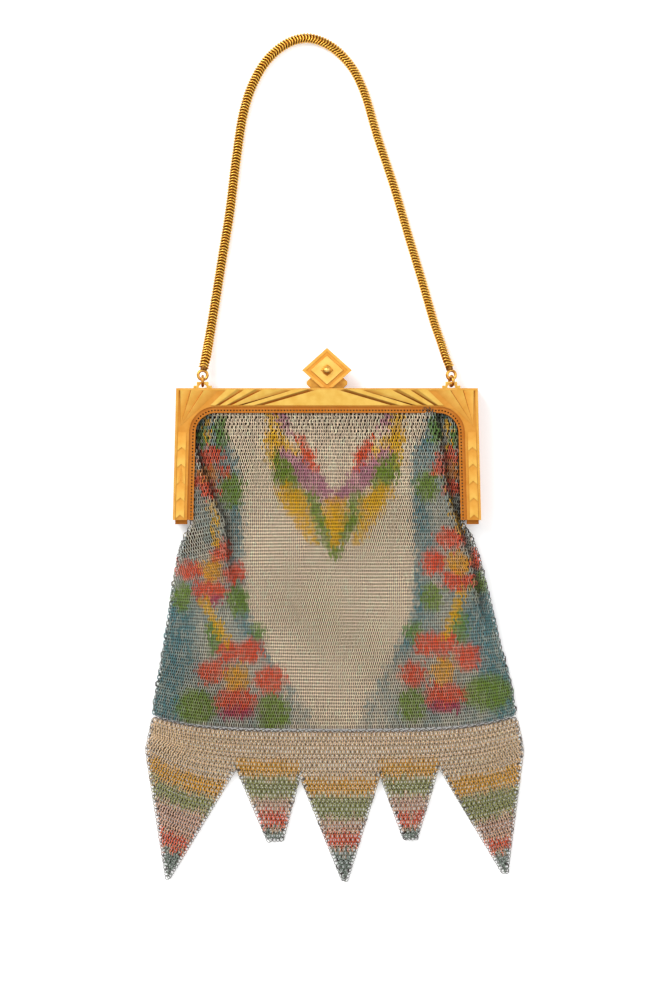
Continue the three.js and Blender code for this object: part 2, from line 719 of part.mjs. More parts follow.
// The pouch: a slab of both walls less the room between them, which runs out through the mouth.
function pouch() {
  const heights = rowHeights();
  const gridOf = (grow, level) =>
    heights.map((middleY, j) => {
      const drop = Math.max((yFoot - middleY) / (yFoot + meshLength), 0);
      const rise = hemRise * drop * drop;
      const edgeY = middleY + rise;
      const left = -pouchEdge(edgeY, -1);
      const right = pouchEdge(edgeY, 1);
      const wider = grow(edgeY);
      const row = [];
      for (let i = 0; i <= meshColumns; i++) {
        const share = (2 * i) / meshColumns - 1;
        const inside = (left + right) / 2 + (share * (right - left)) / 2;
        const x = (left + right) / 2 + share * ((right - left) / 2 + wider);
        let y = middleY + rise * share * share;
        const front = frontZ(inside, y, left, right);
        const back = backZ(inside, y);
        if (j === 0) y += Math.max(wider, 0);
        if (j === heights.length - 1) y -= Math.min(wider, 0);
        row.push({ x, y, ...level(front, back) });
      }
      return row;
    });
  const wall = meshThickness / 2;
  const outer = slab(gridOf(() => 0, (front, back) => ({ top: front + wall, bottom: back - wall })));
  const openAbove = (y) => (y > yFoot - 0.5 ? meshTuck * 2 : -meshThickness);
  const room = slab(gridOf(openAbove, (front, back) => ({ top: front - wall, bottom: back + wall })));
  return outer.subtract(room);
}

// Height of the hem seam at x: level in the middle, rising to both ends.
function hemY(x) {
  const share = Math.min(Math.abs(x - hemOffset) / (hemWidth / 2), 1);
  return -meshLength + hemRise * share ** 2;
}

// The skirt: one thickness of mesh cut to five points, lying flat.
function skirt() {
  const shape = new THREE.Shape();
  const half = hemWidth / 2;
  const right = pouchEdge(yHemSide, 1);
  const left = -pouchEdge(yHemSide, -1);
  const steps = 12;
  const place = (across, drop) => [across * half, -meshLength - drop * skirtLength];
  shape.moveTo(left, hemY(left) - skirtGap);
  shape.lineTo(...place(skirtCorner.left, skirtCorner.drop));
  for (const point of skirtPoints) {
    if (point.valley) shape.lineTo(...place(point.valley.across, point.valley.drop));
    shape.lineTo(...place(point.tip - point.blunt, point.drop));
    shape.lineTo(...place(point.tip + point.blunt, point.drop));
  }
  shape.lineTo(...place(skirtCorner.right, skirtCorner.drop));
  for (let i = 0; i < steps; i++) {
    const x = right + ((left - right) * i) / steps;
    shape.lineTo(x, hemY(x) - skirtGap);
  }
  return plate(shape, 0, meshThickness);
}

const purse = new THREE.Group();
function part(name, shape, material) {
  const mesh = new THREE.Mesh(geometryOf(shape), material);
  mesh.name = name;
  purse.add(mesh);
}

const lugX = frameWidth / 2 - lugInset;
const frontSlots = [topSlot(0, frontClaspSlot, frontPlateZ, claspPlate)];
const backSlots = [backClaspSlot].map((width) => topSlot(0, width, totalDepth - backPlateZ, claspPlate));
for (const x of [-lugX, lugX]) backSlots.push(topSlot(x, lugWidth, totalDepth - lugZ, lugThickness));
const middleKnuckle = [
  [knuckleEnds.inner + knuckleThird + runningGap / 2, knuckleEnds.outer - knuckleThird - runningGap / 2],
];
const outerKnuckles = [
  [knuckleEnds.inner, knuckleEnds.inner + knuckleThird - runningGap / 2],
  [knuckleEnds.outer - knuckleThird + runningGap / 2, knuckleEnds.outer],
];

part("front_frame", frameHalf(true, middleKnuckle, frontSlots), materials.gilt);
part("back_frame", turnedToBack(frameHalf(false, outerKnuckles, backSlots)), materials.gilt);

for (const [name, side] of [["left", -1], ["right", 1]]) {
  const [inner, outer] = [knuckleEnds.inner - runningGap, knuckleEnds.outer + runningGap];
  const pin = joined([
    cylinderAlongX(inner - headThickness / 2, outer + headThickness / 2, yHinge, zMiddle, pinRadius, 12),
    cylinderAlongX(inner - headThickness, inner, yHinge, zMiddle, headRadius, 12),
    cylinderAlongX(outer, outer + headThickness, yHinge, zMiddle, headRadius, 12),
  ]);
  part("hinge_pin_" + name, side < 0 ? mirroredInX(pin) : pin, materials.giltDark);
}

part("clasp_front", frontClasp(), materials.gilt);
part("clasp_back", backClasp(), materials.giltDark);

const rightTurn = 0.4; // the right fittings lie turned about the chain
const leftEnd = chainEnd(-lugX, chainRoute[0], 0);
const rightEnd = chainEnd(lugX, chainRoute[chainRoute.length - 1], rightTurn);
part("lug_left", lug(-lugX), materials.gilt);
part("lug_right", lug(lugX), materials.gilt);
part("link_left", link(-lugX, 0), materials.gilt);
part("link_right", link(lugX, rightTurn), materials.gilt);
part("chain_end_left", leftEnd.shape, materials.giltDark);
part("chain_end_right", rightEnd.shape, materials.giltDark);
part("chain", chainTube(leftEnd.tip, rightEnd.tip), materials.chain);

part("mesh_pouch", pouch(), materials.mesh);
part("mesh_skirt", skirt(), materials.mesh);

export default purse;
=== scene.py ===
"""Dresses the metal mesh purse: gilt frame, snake chain and painted ring mesh, lying on a pale floor."""

import math

import bmesh
import bpy
import numpy as np
from mathutils import Matrix, Vector


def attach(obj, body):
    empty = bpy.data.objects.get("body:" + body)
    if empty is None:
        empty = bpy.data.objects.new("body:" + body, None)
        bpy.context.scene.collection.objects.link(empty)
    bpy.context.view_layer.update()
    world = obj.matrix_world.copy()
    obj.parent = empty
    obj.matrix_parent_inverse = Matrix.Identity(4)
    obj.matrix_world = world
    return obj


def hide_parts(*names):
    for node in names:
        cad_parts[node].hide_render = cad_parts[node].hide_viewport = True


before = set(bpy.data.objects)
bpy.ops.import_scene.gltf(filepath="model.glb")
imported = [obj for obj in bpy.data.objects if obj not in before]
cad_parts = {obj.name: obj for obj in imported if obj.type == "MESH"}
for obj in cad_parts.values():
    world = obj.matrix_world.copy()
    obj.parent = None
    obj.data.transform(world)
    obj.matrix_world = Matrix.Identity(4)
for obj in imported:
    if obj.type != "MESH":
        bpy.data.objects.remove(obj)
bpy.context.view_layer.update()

bl_info = {
    "name": "Metal mesh purse",
    "version": (1, 0, 0),
    "blender": (4, 5, 0),
    "location": "View3D > Sidebar > Mesh purse",
    "description": "Builds the looks of a small ring-mesh purse round its solid model",
    "category": "Object",
}

MM = 0.001

# The solid model's own sizes, in millimetres.
TOP = 4.3
MOUTH = -4.3
FOOT = -43.1
FRAME_HALF = 52.5
SPLAY = 1.2 / 47.4
ARM = 4.9
RAIL = 2.2
MOUTH_RADIUS = 7.0
DEPTH = 11.7
FRONT_TUCK = 8.7
BACK_TUCK = 3.0
LAYER = 0.75  # half the thickness of one layer of rings
UNDER_SIZE = 1.35  # rings of the layers underneath, drawn bigger than those on top
UNDER_WIRE = 1.5
SHADE_SHEET_INSET = 0.9  # its edge inside the mesh's
HEM = -115.8
HEM_HALF = 63.4
HEM_RISE = 5.2
CLOTH_MIDDLE = 2.7
LUG_X = 43.4
LUG_Z = 4.8
LINK_Y = 6.87
EYELET_Y = 8.965

# Sides of the pouch: height, then how far out the mesh reaches on the left and on the right.
SIDES = [
    (-43.1, 47.0, 47.2),
    (-47.2, 49.8, 50.2),
    (-54.0, 51.9, 52.8),
    (-68.3, 54.3, 56.6),
    (-85.3, 56.8, 60.5),
    (-98.9, 59.2, 64.2),
    (-111.2, 61.0, 66.1),
]

# Pleats of the front mesh: points down the line where one panel of mesh folds over the next.
RIGHT_PLEAT = [
    (37.4, -3.0),
    (39.6, -15.2),
    (41.5, -29.6),
    (44.2, -39.3),
    (46.3, -45.7),
    (50.0, -55.9),
    (51.7, -63.4),
    (54.0, -77.0),
    (58.0, -95.0),
]
LEFT_PLEAT = [
    (46.0, -16.0),
    (43.0, -25.0),
    (39.7, -34.0),
    (35.6, -42.5),
    (34.9, -50.0),
    (34.2, -57.0),
    (33.5, -66.0),
    (33.0, -80.0),
]

# Skirt outline below the hem: x, y.
SKIRT = [
    (-63.4, -122.0),
    (-56.3, -166.8),
    (-54.9, -166.8),
    (-31.7, -128.5),
    (-20.8, -153.8),
    (-15.4, -153.8),
    (-9.5, -131.1),
    (5.3, -167.6),
    (7.1, -167.6),
    (18.5, -130.8),
    (26.9, -153.3),
    (31.4, -153.3),
    (39.1, -128.0),
    (61.3, -165.0),
    (63.1, -165.0),
    (68.7, -122.0),
]

# Where the outline meets the hem, left and right.
SKIRT_ENDS = [(-61.2, HEM + 4.2), (66.6, HEM + 4.2)]

# Painted bands of each skirt point: where it ends across, then how far below the hem yellow, green,
# mauve, red and blue begin.
SKIRT_BANDS = [
    (-31.7, 18.5, 25.0, 32.0, 41.0, 47.5),
    (-9.5, 10.0, 16.5, 24.0, 28.0, 34.0),
    (18.5, 16.0, 22.5, 31.0, 35.0, 41.5),
    (39.1, 10.0, 16.5, 23.0, 28.0, 34.0),
    (80.0, 17.0, 24.5, 34.0, 41.0, 46.5),
]

# The painted pattern: soft spots as colour, x, y, half width, half height.
SPOTS = [
    # Left, beside the arm
    ("green", -37.0, -11.0, 2.4, 6.5),
    ("green", -43.6, -12.0, 1.8, 4.0),
    ("red", -40.5, -19.5, 4.2, 3.4),
    ("red", -35.4, -24.8, 2.2, 2.4),
    ("red", -44.8, -28.0, 2.4, 3.0),
    ("red", -40.8, -31.3, 3.4, 3.2),
    ("orange", -41.3, -25.3, 3.4, 3.2),
    ("leaf", -33.2, -31.6, 4.3, 6.2),
    # Left, middle flower
    ("leaf", -31.1, -69.8, 3.9, 5.6),
    ("leaf", -50.4, -68.7, 3.6, 5.4),
    ("red", -37.0, -52.7, 3.9, 3.6),
    ("red", -47.7, -59.1, 5.0, 3.8),
    ("red", -32.2, -60.2, 4.0, 4.0),
    ("red", -40.8, -66.2, 6.2, 4.0),
    ("magenta", -39.2, -69.4, 3.0, 1.5),
    ("heart", -40.2, -59.1, 3.9, 4.4),
    # Left, lower flower
    ("green", -39.6, -82.5, 2.9, 6.5),
    ("green", -24.0, -80.7, 2.6, 3.2),
    ("leaf", -46.0, -107.2, 7.2, 6.6),
    ("leaf", -18.8, -109.2, 5.8, 7.2),
    ("red", -34.2, -87.6, 4.2, 4.2),
    ("red", -26.8, -87.4, 4.2, 4.6),
    ("red", -40.5, -94.6, 5.2, 4.2),
    ("red", -20.1, -97.5, 5.4, 5.0),
    ("red", -31.8, -105.0, 7.6, 4.6),
    ("magenta", -32.0, -109.3, 7.2, 2.0),
    ("heart", -31.8, -96.8, 4.4, 5.0),
    # Right, beside the arm
    ("green", 38.0, -10.5, 2.2, 6.0),
    ("green", 44.9, -12.7, 1.8, 3.2),
    ("red", 42.6, -18.9, 3.2, 3.4),
    ("red", 39.1, -23.8, 2.4, 3.4),
    ("red", 43.8, -30.7, 3.0, 3.0),
    ("orange", 43.8, -24.8, 2.8, 3.2),
    ("leaf", 35.1, -29.6, 4.6, 5.2),
    # Right, middle flower
    ("leaf", 36.7, -68.7, 3.8, 5.2),
    ("leaf", 53.3, -63.9, 3.0, 4.2),
    ("red", 43.1, -48.0, 5.3, 3.9),
    ("red", 36.9, -56.4, 4.4, 4.6),
    ("red", 51.9, -55.3, 2.8, 3.8),
    ("red", 45.5, -62.9, 6.0, 3.4),
    ("heart", 45.8, -56.6, 4.4, 4.2),
    # Right, lower flower
    ("green", 46.4, -78.7, 2.8, 6.2),
    ("green", 30.2, -80.7, 2.8, 3.8),
    ("leaf", 29.5, -106.6, 4.8, 6.4),
    ("leaf", 56.1, -102.0, 9.2, 6.6),
    ("red", 34.8, -84.8, 4.2, 4.4),
    ("red", 41.4, -84.8, 4.2, 4.6),
    ("red", 30.2, -95.6, 4.8, 4.8),
    ("red", 49.0, -89.7, 4.8, 5.0),
    ("red", 41.2, -103.0, 7.4, 4.6),
    ("magenta", 41.4, -107.2, 6.6, 2.0),
    ("heart", 40.6, -94.3, 4.7, 4.8),
]

# Soft lines: colour, half width at the start and end, then their points.
LINES = [
    ("yellow", 0.8, 0.8, (-41.3, -5.0), (-41.3, -14.5)),
    ("yellow", 0.9, 1.3, (-39.7, -35.0), (-38.6, -49.5)),
    ("yellow", 1.8, 1.6, (-42.4, -70.5), (-38.2, -78.9), (-35.0, -84.5)),
    ("yellow", 0.9, 0.9, (42.3, -6.0), (42.3, -15.5)),
    ("yellow", 0.8, 1.2, (42.5, -33.5), (47.0, -46.5)),
    ("yellow", 1.8, 1.6, (47.6, -66.6), (44.2, -74.6), (41.6, -82.0)),
]

# The chevron under the bar, drawn for its left half and mirrored.
CHEVRON = [
    ("yellow", 1.6, 2.8, (-18.9, -3.0), (-18.9, -13.0)),
    ("yellow", 2.8, 1.8, (-18.9, -13.0), (-18.6, -22.0)),
    ("yellow", 2.4, 1.6, (-17.0, -13.5), (-11.0, -18.0)),
    ("mauve", 1.2, 1.5, (-17.0, -3.0), (-13.4, -10.5)),
    ("red", 1.0, 2.4, (-9.9, -13.0), (-6.6, -19.5)),
    ("red", 2.4, 1.0, (-6.6, -19.5), (-3.9, -25.0)),
    ("mauve", 1.6, 3.2, (-15.4, -17.4), (-8.8, -24.6)),
    ("mauve", 3.2, 2.0, (-8.8, -24.6), (-4.9, -31.0)),
    ("mauve", 1.4, 2.2, (-3.6, -25.5), (-0.6, -32.0)),
    ("mauve", 2.2, 1.8, (-0.6, -32.0), (1.4, -35.8)),
    ("leaf", 2.2, 4.2, (-17.6, -20.4), (-14.9, -25.4)),
    ("leaf", 4.2, 2.6, (-14.9, -25.4), (-11.8, -31.5)),
    ("yellow", 3.2, 4.4, (-14.6, -31.6), (-11.0, -35.4)),
    ("yellow", 4.4, 1.4, (-11.0, -35.4), (-4.6, -49.4)),
    ("leaf", 2.0, 2.6, (-5.6, -33.0), (-2.6, -42.0)),
    ("leaf", 2.6, 1.6, (-2.6, -42.0), (2.2, -53.8)),
    ("yellow", 2.8, 2.4, (0.8, -36.6), (2.0, -43.0)),
    ("yellow", 2.4, 0.8, (2.0, -43.0), (2.6, -50.5)),
]
CHEVRON_MIDDLE = 2.8

# Inner edge of the blue-grey panels at the sides: height, left, right.
PANELS = [
    (-6.0, -39.0, 35.0),
    (-12.0, -35.0, 33.0),
    (-18.0, -32.5, 29.5),
    (-26.0, -29.5, 29.5),
    (-55.0, -28.8, 30.4),
    (-70.0, -27.8, 30.0),
    (-80.0, -25.5, 27.5),
    (-92.0, -18.0, 21.0),
    (-104.0, -9.0, 14.0),
    (-115.0, -3.0, 10.5),
]

# The chain's route, as in the solid model: x, y and height of its middle.
CHAIN_ROUTE = [
    (-42.6, 13.1, 4.5),
    (-42.4, 14.6, 4.2),
    (-41.2, 21.5, 2.2),
    (-39.0, 35.0, 1.5),
    (-36.6, 50.0, 1.5),
    (-34.0, 66.0, 1.5),
    (-31.8, 84.0, 1.5),
    (-29.0, 101.5, 1.5),
    (-25.6, 111.5, 1.5),
    (-20.6, 119.6, 1.5),
    (-13.6, 125.2, 1.5),
    (-6.6, 126.9, 1.5),
    (1.0, 124.2, 1.5),
    (8.0, 117.6, 1.5),
    (12.6, 109.0, 1.5),
    (17.6, 92.5, 1.5),
    (23.4, 75.0, 1.5),
    (28.4, 58.0, 1.5),
    (33.2, 42.0, 1.5),
    (37.6, 27.0, 1.5),
    (40.2, 19.6, 2.5),
    (41.9, 14.2, 4.2),
    (42.3, 13.1, 4.5),
]


# The mesh's paints: what each is for and its sRGB colour.
PAINTS = {
    # Unpainted brass, darkened as painted shade in the gaps between rings.
    "bare": ("where no paint fell", "#2C160A"),
    "tan": ("of the ground", "#FFE6C6"),
    "blue": ("of the side panels", "#4C8C94"),
    "green": ("of the stems", "#6E9A3C"),
    "leaf": ("of the leaves", "#7C9A24"),
    "red": ("of the petals", "#FF5420"),
    "magenta": ("of the lowest petals", "#C03C60"),
    "orange": ("of the upper flowers", "#F09030"),
    "yellow": ("of the chevron's yellow", "#FFC010"),
    "heart": ("of the flowers' hearts", "#FFB000"),
    "mauve": ("of the chevron's bars", "#CC8498"),
    "band_green": ("on the skirt", "#93AC5E"),
}
# Shade that is held in the rings' colours rather than left to the light, painted shade at the seam, and
# warmer tints at the skirt.
RAIL_SHADE = 0.9
FOLD_SHADE = 0.8
SKIRT_SHADE = 0.85
SKIRT_UNDER_SHADE = 0.3
SKIRT_TINT = (1.05, 0.93, 0.78, 1.0)
SEAM_SHADE = (0.3, 0.24, 0.17, 1.0)


def linear(code):
    """An sRGB hex colour as linear RGBA."""
    parts = [int(code[i : i + 2], 16) / 255 for i in (1, 3, 5)]
    return [p / 12.92 if p <= 0.04045 else ((p + 0.055) / 1.055) ** 2.4 for p in parts] + [1.0]


def node(tree, kind, values=None, links=None, **settings):
    """Adds a node, with input values and links given by socket name or number."""
    made = tree.nodes.new(kind)
    for key, value in settings.items():
        setattr(made, key, value)
    for key, value in (values or {}).items():
        made.inputs[key].default_value = value
    for key, source in (links or {}).items():
        tree.links.new(source, made.inputs[key])
    return made


def ramp(tree, fac, stops):
    """A colour ramp through (position, hex) stops."""
    made = node(tree, "ShaderNodeValToRGB", links={0: fac})
    elements = made.color_ramp.elements
    while len(elements) < len(stops):
        elements.new(0.5)
    for element, (position, code) in zip(elements, stops):
        element.position = position
        element.color = linear(code)
    return made.outputs["Color"]


def new_material(name):
    made = bpy.data.materials.new(name)
    made.use_nodes = True
    tree = made.node_tree
    shader = tree.nodes["Principled BSDF"]
    return made, tree, shader


def gilt_brass(name, low, high, stops, step_shade=0.9, roughness=0.42):
    """Stamped brass, gilded and lacquered, with painted shade by height: bright on what stands proud, orange
    where it slopes and sinks.

    low and high are the heights above the frame's middle, in millimetres, where the stops begin and end.
    """
    made, tree, shader = new_material(name)
    where = node(tree, "ShaderNodeTexCoord").outputs["Object"]
    axes = node(tree, "ShaderNodeSeparateXYZ", links={0: where})
    off = node(tree, "ShaderNodeMath", {1: DEPTH / 2 * MM}, {0: axes.outputs["Z"]}, operation="SUBTRACT")
    off = node(tree, "ShaderNodeMath", links={0: off.outputs[0]}, operation="ABSOLUTE")
    span = {"From Min": low * MM, "From Max": high * MM}
    height = node(tree, "ShaderNodeMapRange", span, {"Value": off.outputs[0]})
    # Painted shade by height: the lower a face sits, the deeper orange it is.
    colour = ramp(tree, height.outputs[0], stops)
    # Uneven gilding, in patches about 3 mm across.
    wear = node(tree, "ShaderNodeTexNoise", {"Scale": 320.0, "Detail": 3.0}, {"Vector": where})
    patch = ramp(tree, wear.outputs["Fac"], [(0.35, "#F1DDB8"), (0.65, "#FFFFFF")])
    tinted = node(
        tree, "ShaderNodeMix", {0: 0.6}, {6: colour, 7: patch}, data_type="RGBA", blend_type="MULTIPLY"
    )
    # Painted shade in the steps of the relief and in the holes, darkest on the steep faces.
    steep = node(tree, "ShaderNodeAttribute", attribute_name="steep").outputs["Fac"]
    held = node(tree, "ShaderNodeMath", {1: step_shade}, {0: steep}, operation="MULTIPLY")
    step_shaded = node(
        tree,
        "ShaderNodeMix",
        {7: linear("#9A4E18")},
        {0: held.outputs[0], 6: tinted.outputs[2]},
        data_type="RGBA",
    )
    tree.links.new(step_shaded.outputs[2], shader.inputs["Base Color"])
    shader.inputs["Metallic"].default_value = 1.0
    rough = node(
        tree,
        "ShaderNodeMapRange",
        {"To Min": roughness - 0.05, "To Max": roughness + 0.1},
        {"Value": wear.outputs["Fac"]},
    )
    tree.links.new(rough.outputs[0], shader.inputs["Roughness"])
    # Marks of polishing the die, 0.25 mm apart.
    grain = node(tree, "ShaderNodeTexNoise", {"Scale": 4000.0, "Detail": 2.0}, {"Vector": where})
    depth = {"Strength": 0.12, "Distance": 0.00005}
    bump = node(tree, "ShaderNodeBump", depth, {"Height": grain.outputs["Fac"]})
    tree.links.new(bump.outputs[0], shader.inputs["Normal"])
    return made


def plain_gilt(name, bright, dark, roughness, spot_scale):
    """Drawn or cast brass, gilded: one warm colour with darker breaks where the gilding has thinned."""
    made, tree, shader = new_material(name)
    where = node(tree, "ShaderNodeTexCoord").outputs["Object"]
    wear = node(tree, "ShaderNodeTexNoise", {"Scale": spot_scale, "Detail": 3.0}, {"Vector": where})
    colour = ramp(tree, wear.outputs["Fac"], [(0.3, dark), (0.6, bright)])
    tree.links.new(colour, shader.inputs["Base Color"])
    shader.inputs["Metallic"].default_value = 1.0
    shader.inputs["Roughness"].default_value = roughness
    return made


def painted_rings():
    """Brass wire rings, sprayed with paint through stencils: a satin film with the metal shining through."""
    made, tree, shader = new_material("painted_brass_rings")
    paint = node(tree, "ShaderNodeAttribute", attribute_name="paint").outputs["Color"]
    tree.links.new(paint, shader.inputs["Base Color"])
    shader.inputs["Metallic"].default_value = 0.12
    shader.inputs["Roughness"].default_value = 0.42
    return made


def deselect():
    bpy.ops.object.select_all(action="DESELECT")


def finish_piece(obj, name, nodes, material=None):
    """Names a piece, gives it its material, hangs it under the root and hides the solids it stands for."""
    obj.name = name
    obj.data.name = name
    if material:
        obj.data.materials.clear()
        obj.data.materials.append(material)
    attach(obj, "root")
    if nodes:
        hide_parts(*nodes)
    return obj


def dressed_copy(name, bevel, material):
    """A copy of a solid's mesh, merged, with its long sharp edges softened and its flats kept flat."""
    deselect()
    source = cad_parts[name]
    obj = bpy.data.objects.new(name + "_dressed", source.data.copy())
    bpy.context.scene.collection.objects.link(obj)
    bpy.context.view_layer.objects.active = obj
    obj.select_set(True)
    bpy.ops.object.mode_set(mode="EDIT")
    bpy.ops.mesh.select_all(action="SELECT")
    bpy.ops.mesh.remove_doubles(threshold=0.000002)
    bpy.ops.mesh.customdata_custom_splitnormals_clear()
    bpy.ops.object.mode_set(mode="OBJECT")
    work = bmesh.new()
    work.from_mesh(obj.data)
    weight = work.edges.layers.float.new("bevel_weight_edge")
    for edge in work.edges:
        if edge.is_manifold and edge.calc_length() > 0.75 * MM and edge.calc_face_angle() > math.radians(18):
            edge[weight] = 1.0
    work.to_mesh(obj.data)
    work.free()
    soften = obj.modifiers.new("soft_edges", "BEVEL")
    soften.width = bevel * MM
    soften.segments = 2
    soften.limit_method = "WEIGHT"
    bpy.ops.object.modifier_apply(modifier=soften.name)
    bpy.ops.object.shade_smooth_by_angle(angle=math.radians(32))
    flats = obj.modifiers.new("flats", "WEIGHTED_NORMAL")
    flats.keep_sharp = True
    bpy.ops.object.modifier_apply(modifier=flats.name)
    # Low steps and the holes' walls take painted shade: how steep each small face is.
    steep = []
    for face in obj.data.polygons:
        heights = [obj.data.vertices[i].co.z for i in face.vertices]
        low = max(heights) - min(heights) < 1.3 * MM
        steep.append(float(1 - smooth(abs(face.normal.z), 0.8, 0.985)) if low else 0.0)
    obj.data.attributes.new("steep", "FLOAT", "FACE").data.foreach_set("value", steep)
    return finish_piece(obj, name + "_dressed", [name], material)


def template(twist=0.0, **sizes):
    """A ring's points and faces, as arrays, to be copied many times over."""
    deselect()
    bpy.ops.mesh.primitive_torus_add(**sizes)
    made = bpy.context.object
    points = np.array([v.co for v in made.data.vertices])
    faces = np.array([list(p.vertices) for p in made.data.polygons])
    bpy.data.objects.remove(made, do_unlink=True)
    turn = np.array(Matrix.Rotation(twist, 3, "Z"))
    return points @ turn.T, faces


def many(name, points, faces, turns, places, paint=None, painted_side=1):
    """One mesh of a small shape copied to each place with its own turn, in metres.

    Paint lies on the side that the spray reached; what faces the other way is unpainted brass, darkened
    nearly black as painted shade.
    """
    count = len(places)
    turned = np.einsum("nij,pj->npi", turns, points)
    verts = (turned + places[:, None, :]).reshape(-1, 3)
    index = (faces[None] + (np.arange(count) * len(points))[:, None, None]).reshape(-1, faces.shape[1])
    mesh = bpy.data.meshes.new(name)
    mesh.vertices.add(len(verts))
    mesh.vertices.foreach_set("co", verts.astype(np.float32).ravel())
    mesh.loops.add(index.size)
    mesh.loops.foreach_set("vertex_index", index.astype(np.int32).ravel())
    mesh.polygons.add(len(index))
    mesh.polygons.foreach_set("loop_start", np.arange(0, index.size, index.shape[1], dtype=np.int32))
    mesh.polygons.foreach_set("use_smooth", np.ones(len(index), bool))
    mesh.update(calc_edges=True)
    if paint is not None:
        radius = np.abs(points[:, :2]).max()
        height = painted_side * turned[:, :, 2] / radius
        # The unpainted side is coloured near black: painted shade in the gaps between rings.
        bare = np.array(linear(bpy.context.scene.purse_paint.bare))
        share = smooth(height, -0.3, 0.45)[:, :, None]
        colour = paint[:, None, :] * share + bare * (1 - share)
        colours = mesh.attributes.new("paint", "FLOAT_COLOR", "POINT")
        colours.data.foreach_set("color", colour.astype(np.float32).ravel())
        # Seen from above, what faces up lies in the map's left half and what faces down in its right.
        low, high = np.array([-70.0, -170.0]) * MM, np.array([72.0, 2.0]) * MM
        spread = ((verts[:, :2] - low) / (high - low))[index.ravel()]
        under = (height[:, faces].mean(axis=2) < -0.1).ravel()
        spread[:, 0] = spread[:, 0] * 0.5 + 0.5 * np.repeat(under, faces.shape[1])
        layer = mesh.uv_layers.new(name="OFBake")
        layer.data.foreach_set("uv", spread.astype(np.float32).ravel())
    obj = bpy.data.objects.new(name, mesh)
    bpy.context.scene.collection.objects.link(obj)
    return obj


def smooth(x, low, high):
    """0 below low, 1 above high, smooth between."""
    t = np.clip((x - low) / (high - low), 0.0, 1.0)
    return t * t * (3 - 2 * t)


def mouth_half(y):
    return FRAME_HALF - ARM - RAIL + (TOP - y) * SPLAY


def reach(y, side):
    """How far out the mesh reaches at height y, on the left where side is below 0, else on the right."""
    radius = MOUTH_RADIUS + 1.1
    from_top = np.clip(MOUTH + 1.1 - y, 0.0, radius)
    arch = radius - np.sqrt(np.maximum(radius**2 - (radius - from_top) ** 2, 0.0))
    inside = mouth_half(y) + 1.1 - arch
    table = np.array(SIDES)[::-1]
    outside = np.where(
        side < 0, np.interp(y, table[:, 0], table[:, 1]), np.interp(y, table[:, 0], table[:, 2])
    )
    return np.where(y >= FOOT, inside, outside)


def held(x, y, distance):
    """How strongly the mesh is still held at the frame's height."""
    from_bar = np.maximum(MOUTH - y, 0.0)
    out = np.abs(x) - mouth_half(np.maximum(y, FOOT))
    from_arm = np.where(y >= FOOT, np.maximum(-out, 0.0), np.hypot(out, FOOT - y))
    return 1 - (1 - np.exp(-((from_bar / distance) ** 2))) * (1 - np.exp(-((from_arm / distance) ** 2)))


def front_height(x, y):
    """Middle of the front mesh above the floor, without its pleats."""
    left, right = -reach(y, -1), reach(y, 1)
    share = (x - (left + right) / 2) / ((right - left) / 2)
    bottom = np.clip((MOUTH - y) / (MOUTH - HEM), 0.0, 1.0)
    room = np.clip((1 - share**4) * (1 - bottom**4), 0.0, 1.0)
    lying = 3 * LAYER + 0.4 + 1.2 * room
    height = lying + (FRONT_TUCK - lying) * held(x, y, 36.0)
    # Gathers under the rail, where more rings hang than the bar is wide.
    gather = np.exp(-np.maximum(MOUTH - y, 0.0) / 16.0) * smooth(MOUTH - y, 0.0, 5.0)
    height = height - 0.7 * gather * (1 + np.sin(x / 1.35 + 1.4 * np.sin(x / 9.0))) * room
    # Slack that ripples across the lying part.
    slack = smooth(-y, 35.0, 60.0) * room
    height = height + 0.22 * slack * np.sin(y / 2.9 + 1.3 * np.sin(x / 17.0))
    return height + 0.5 * slack * np.sin(x / 6.5 + y / 31.0)


def back_height(x, y):
    return LAYER + (BACK_TUCK - LAYER) * held(x, y, 9.0)


def pleat_height(gap, y, strength, over):
    """Lift of a mesh panel near its pleat: the top one rises and curls down at its edge, the other sinks."""
    if over:
        curl = np.clip(1 - gap / 0.9, 0.0, 1.0) ** 2
        return strength * (2.1 * np.exp(-((gap / 5.0) ** 2)) - 1.0 * curl)
    depth = 0.7 + 2.0 * smooth(y, -66.0, -40.0)
    return -depth * strength * np.exp(-((np.maximum(gap, 0.0) / 4.5) ** 2))


def ring_turns(along, across, turn, lean):
    """Turn of each ring out of the mesh's surface, about its column and about its row, as matrices."""
    along = along / np.linalg.norm(along, axis=1, keepdims=True)
    normal = np.cross(along, across)
    normal /= np.linalg.norm(normal, axis=1, keepdims=True)
    across = np.cross(normal, along)
    basis = np.stack([along, across, normal], axis=2)
    ca, sa = np.cos(lean), np.sin(lean)
    cb, sb = np.cos(turn), np.sin(turn)
    zero, one = np.zeros_like(ca), np.ones_like(ca)
    about_row = np.stack([one, zero, zero, zero, ca, -sa, zero, sa, ca], axis=1).reshape(-1, 3, 3)
    about_column = np.stack([cb, zero, sb, zero, one, zero, -sb, zero, cb], axis=1).reshape(-1, 3, 3)
    return basis @ about_row @ about_column


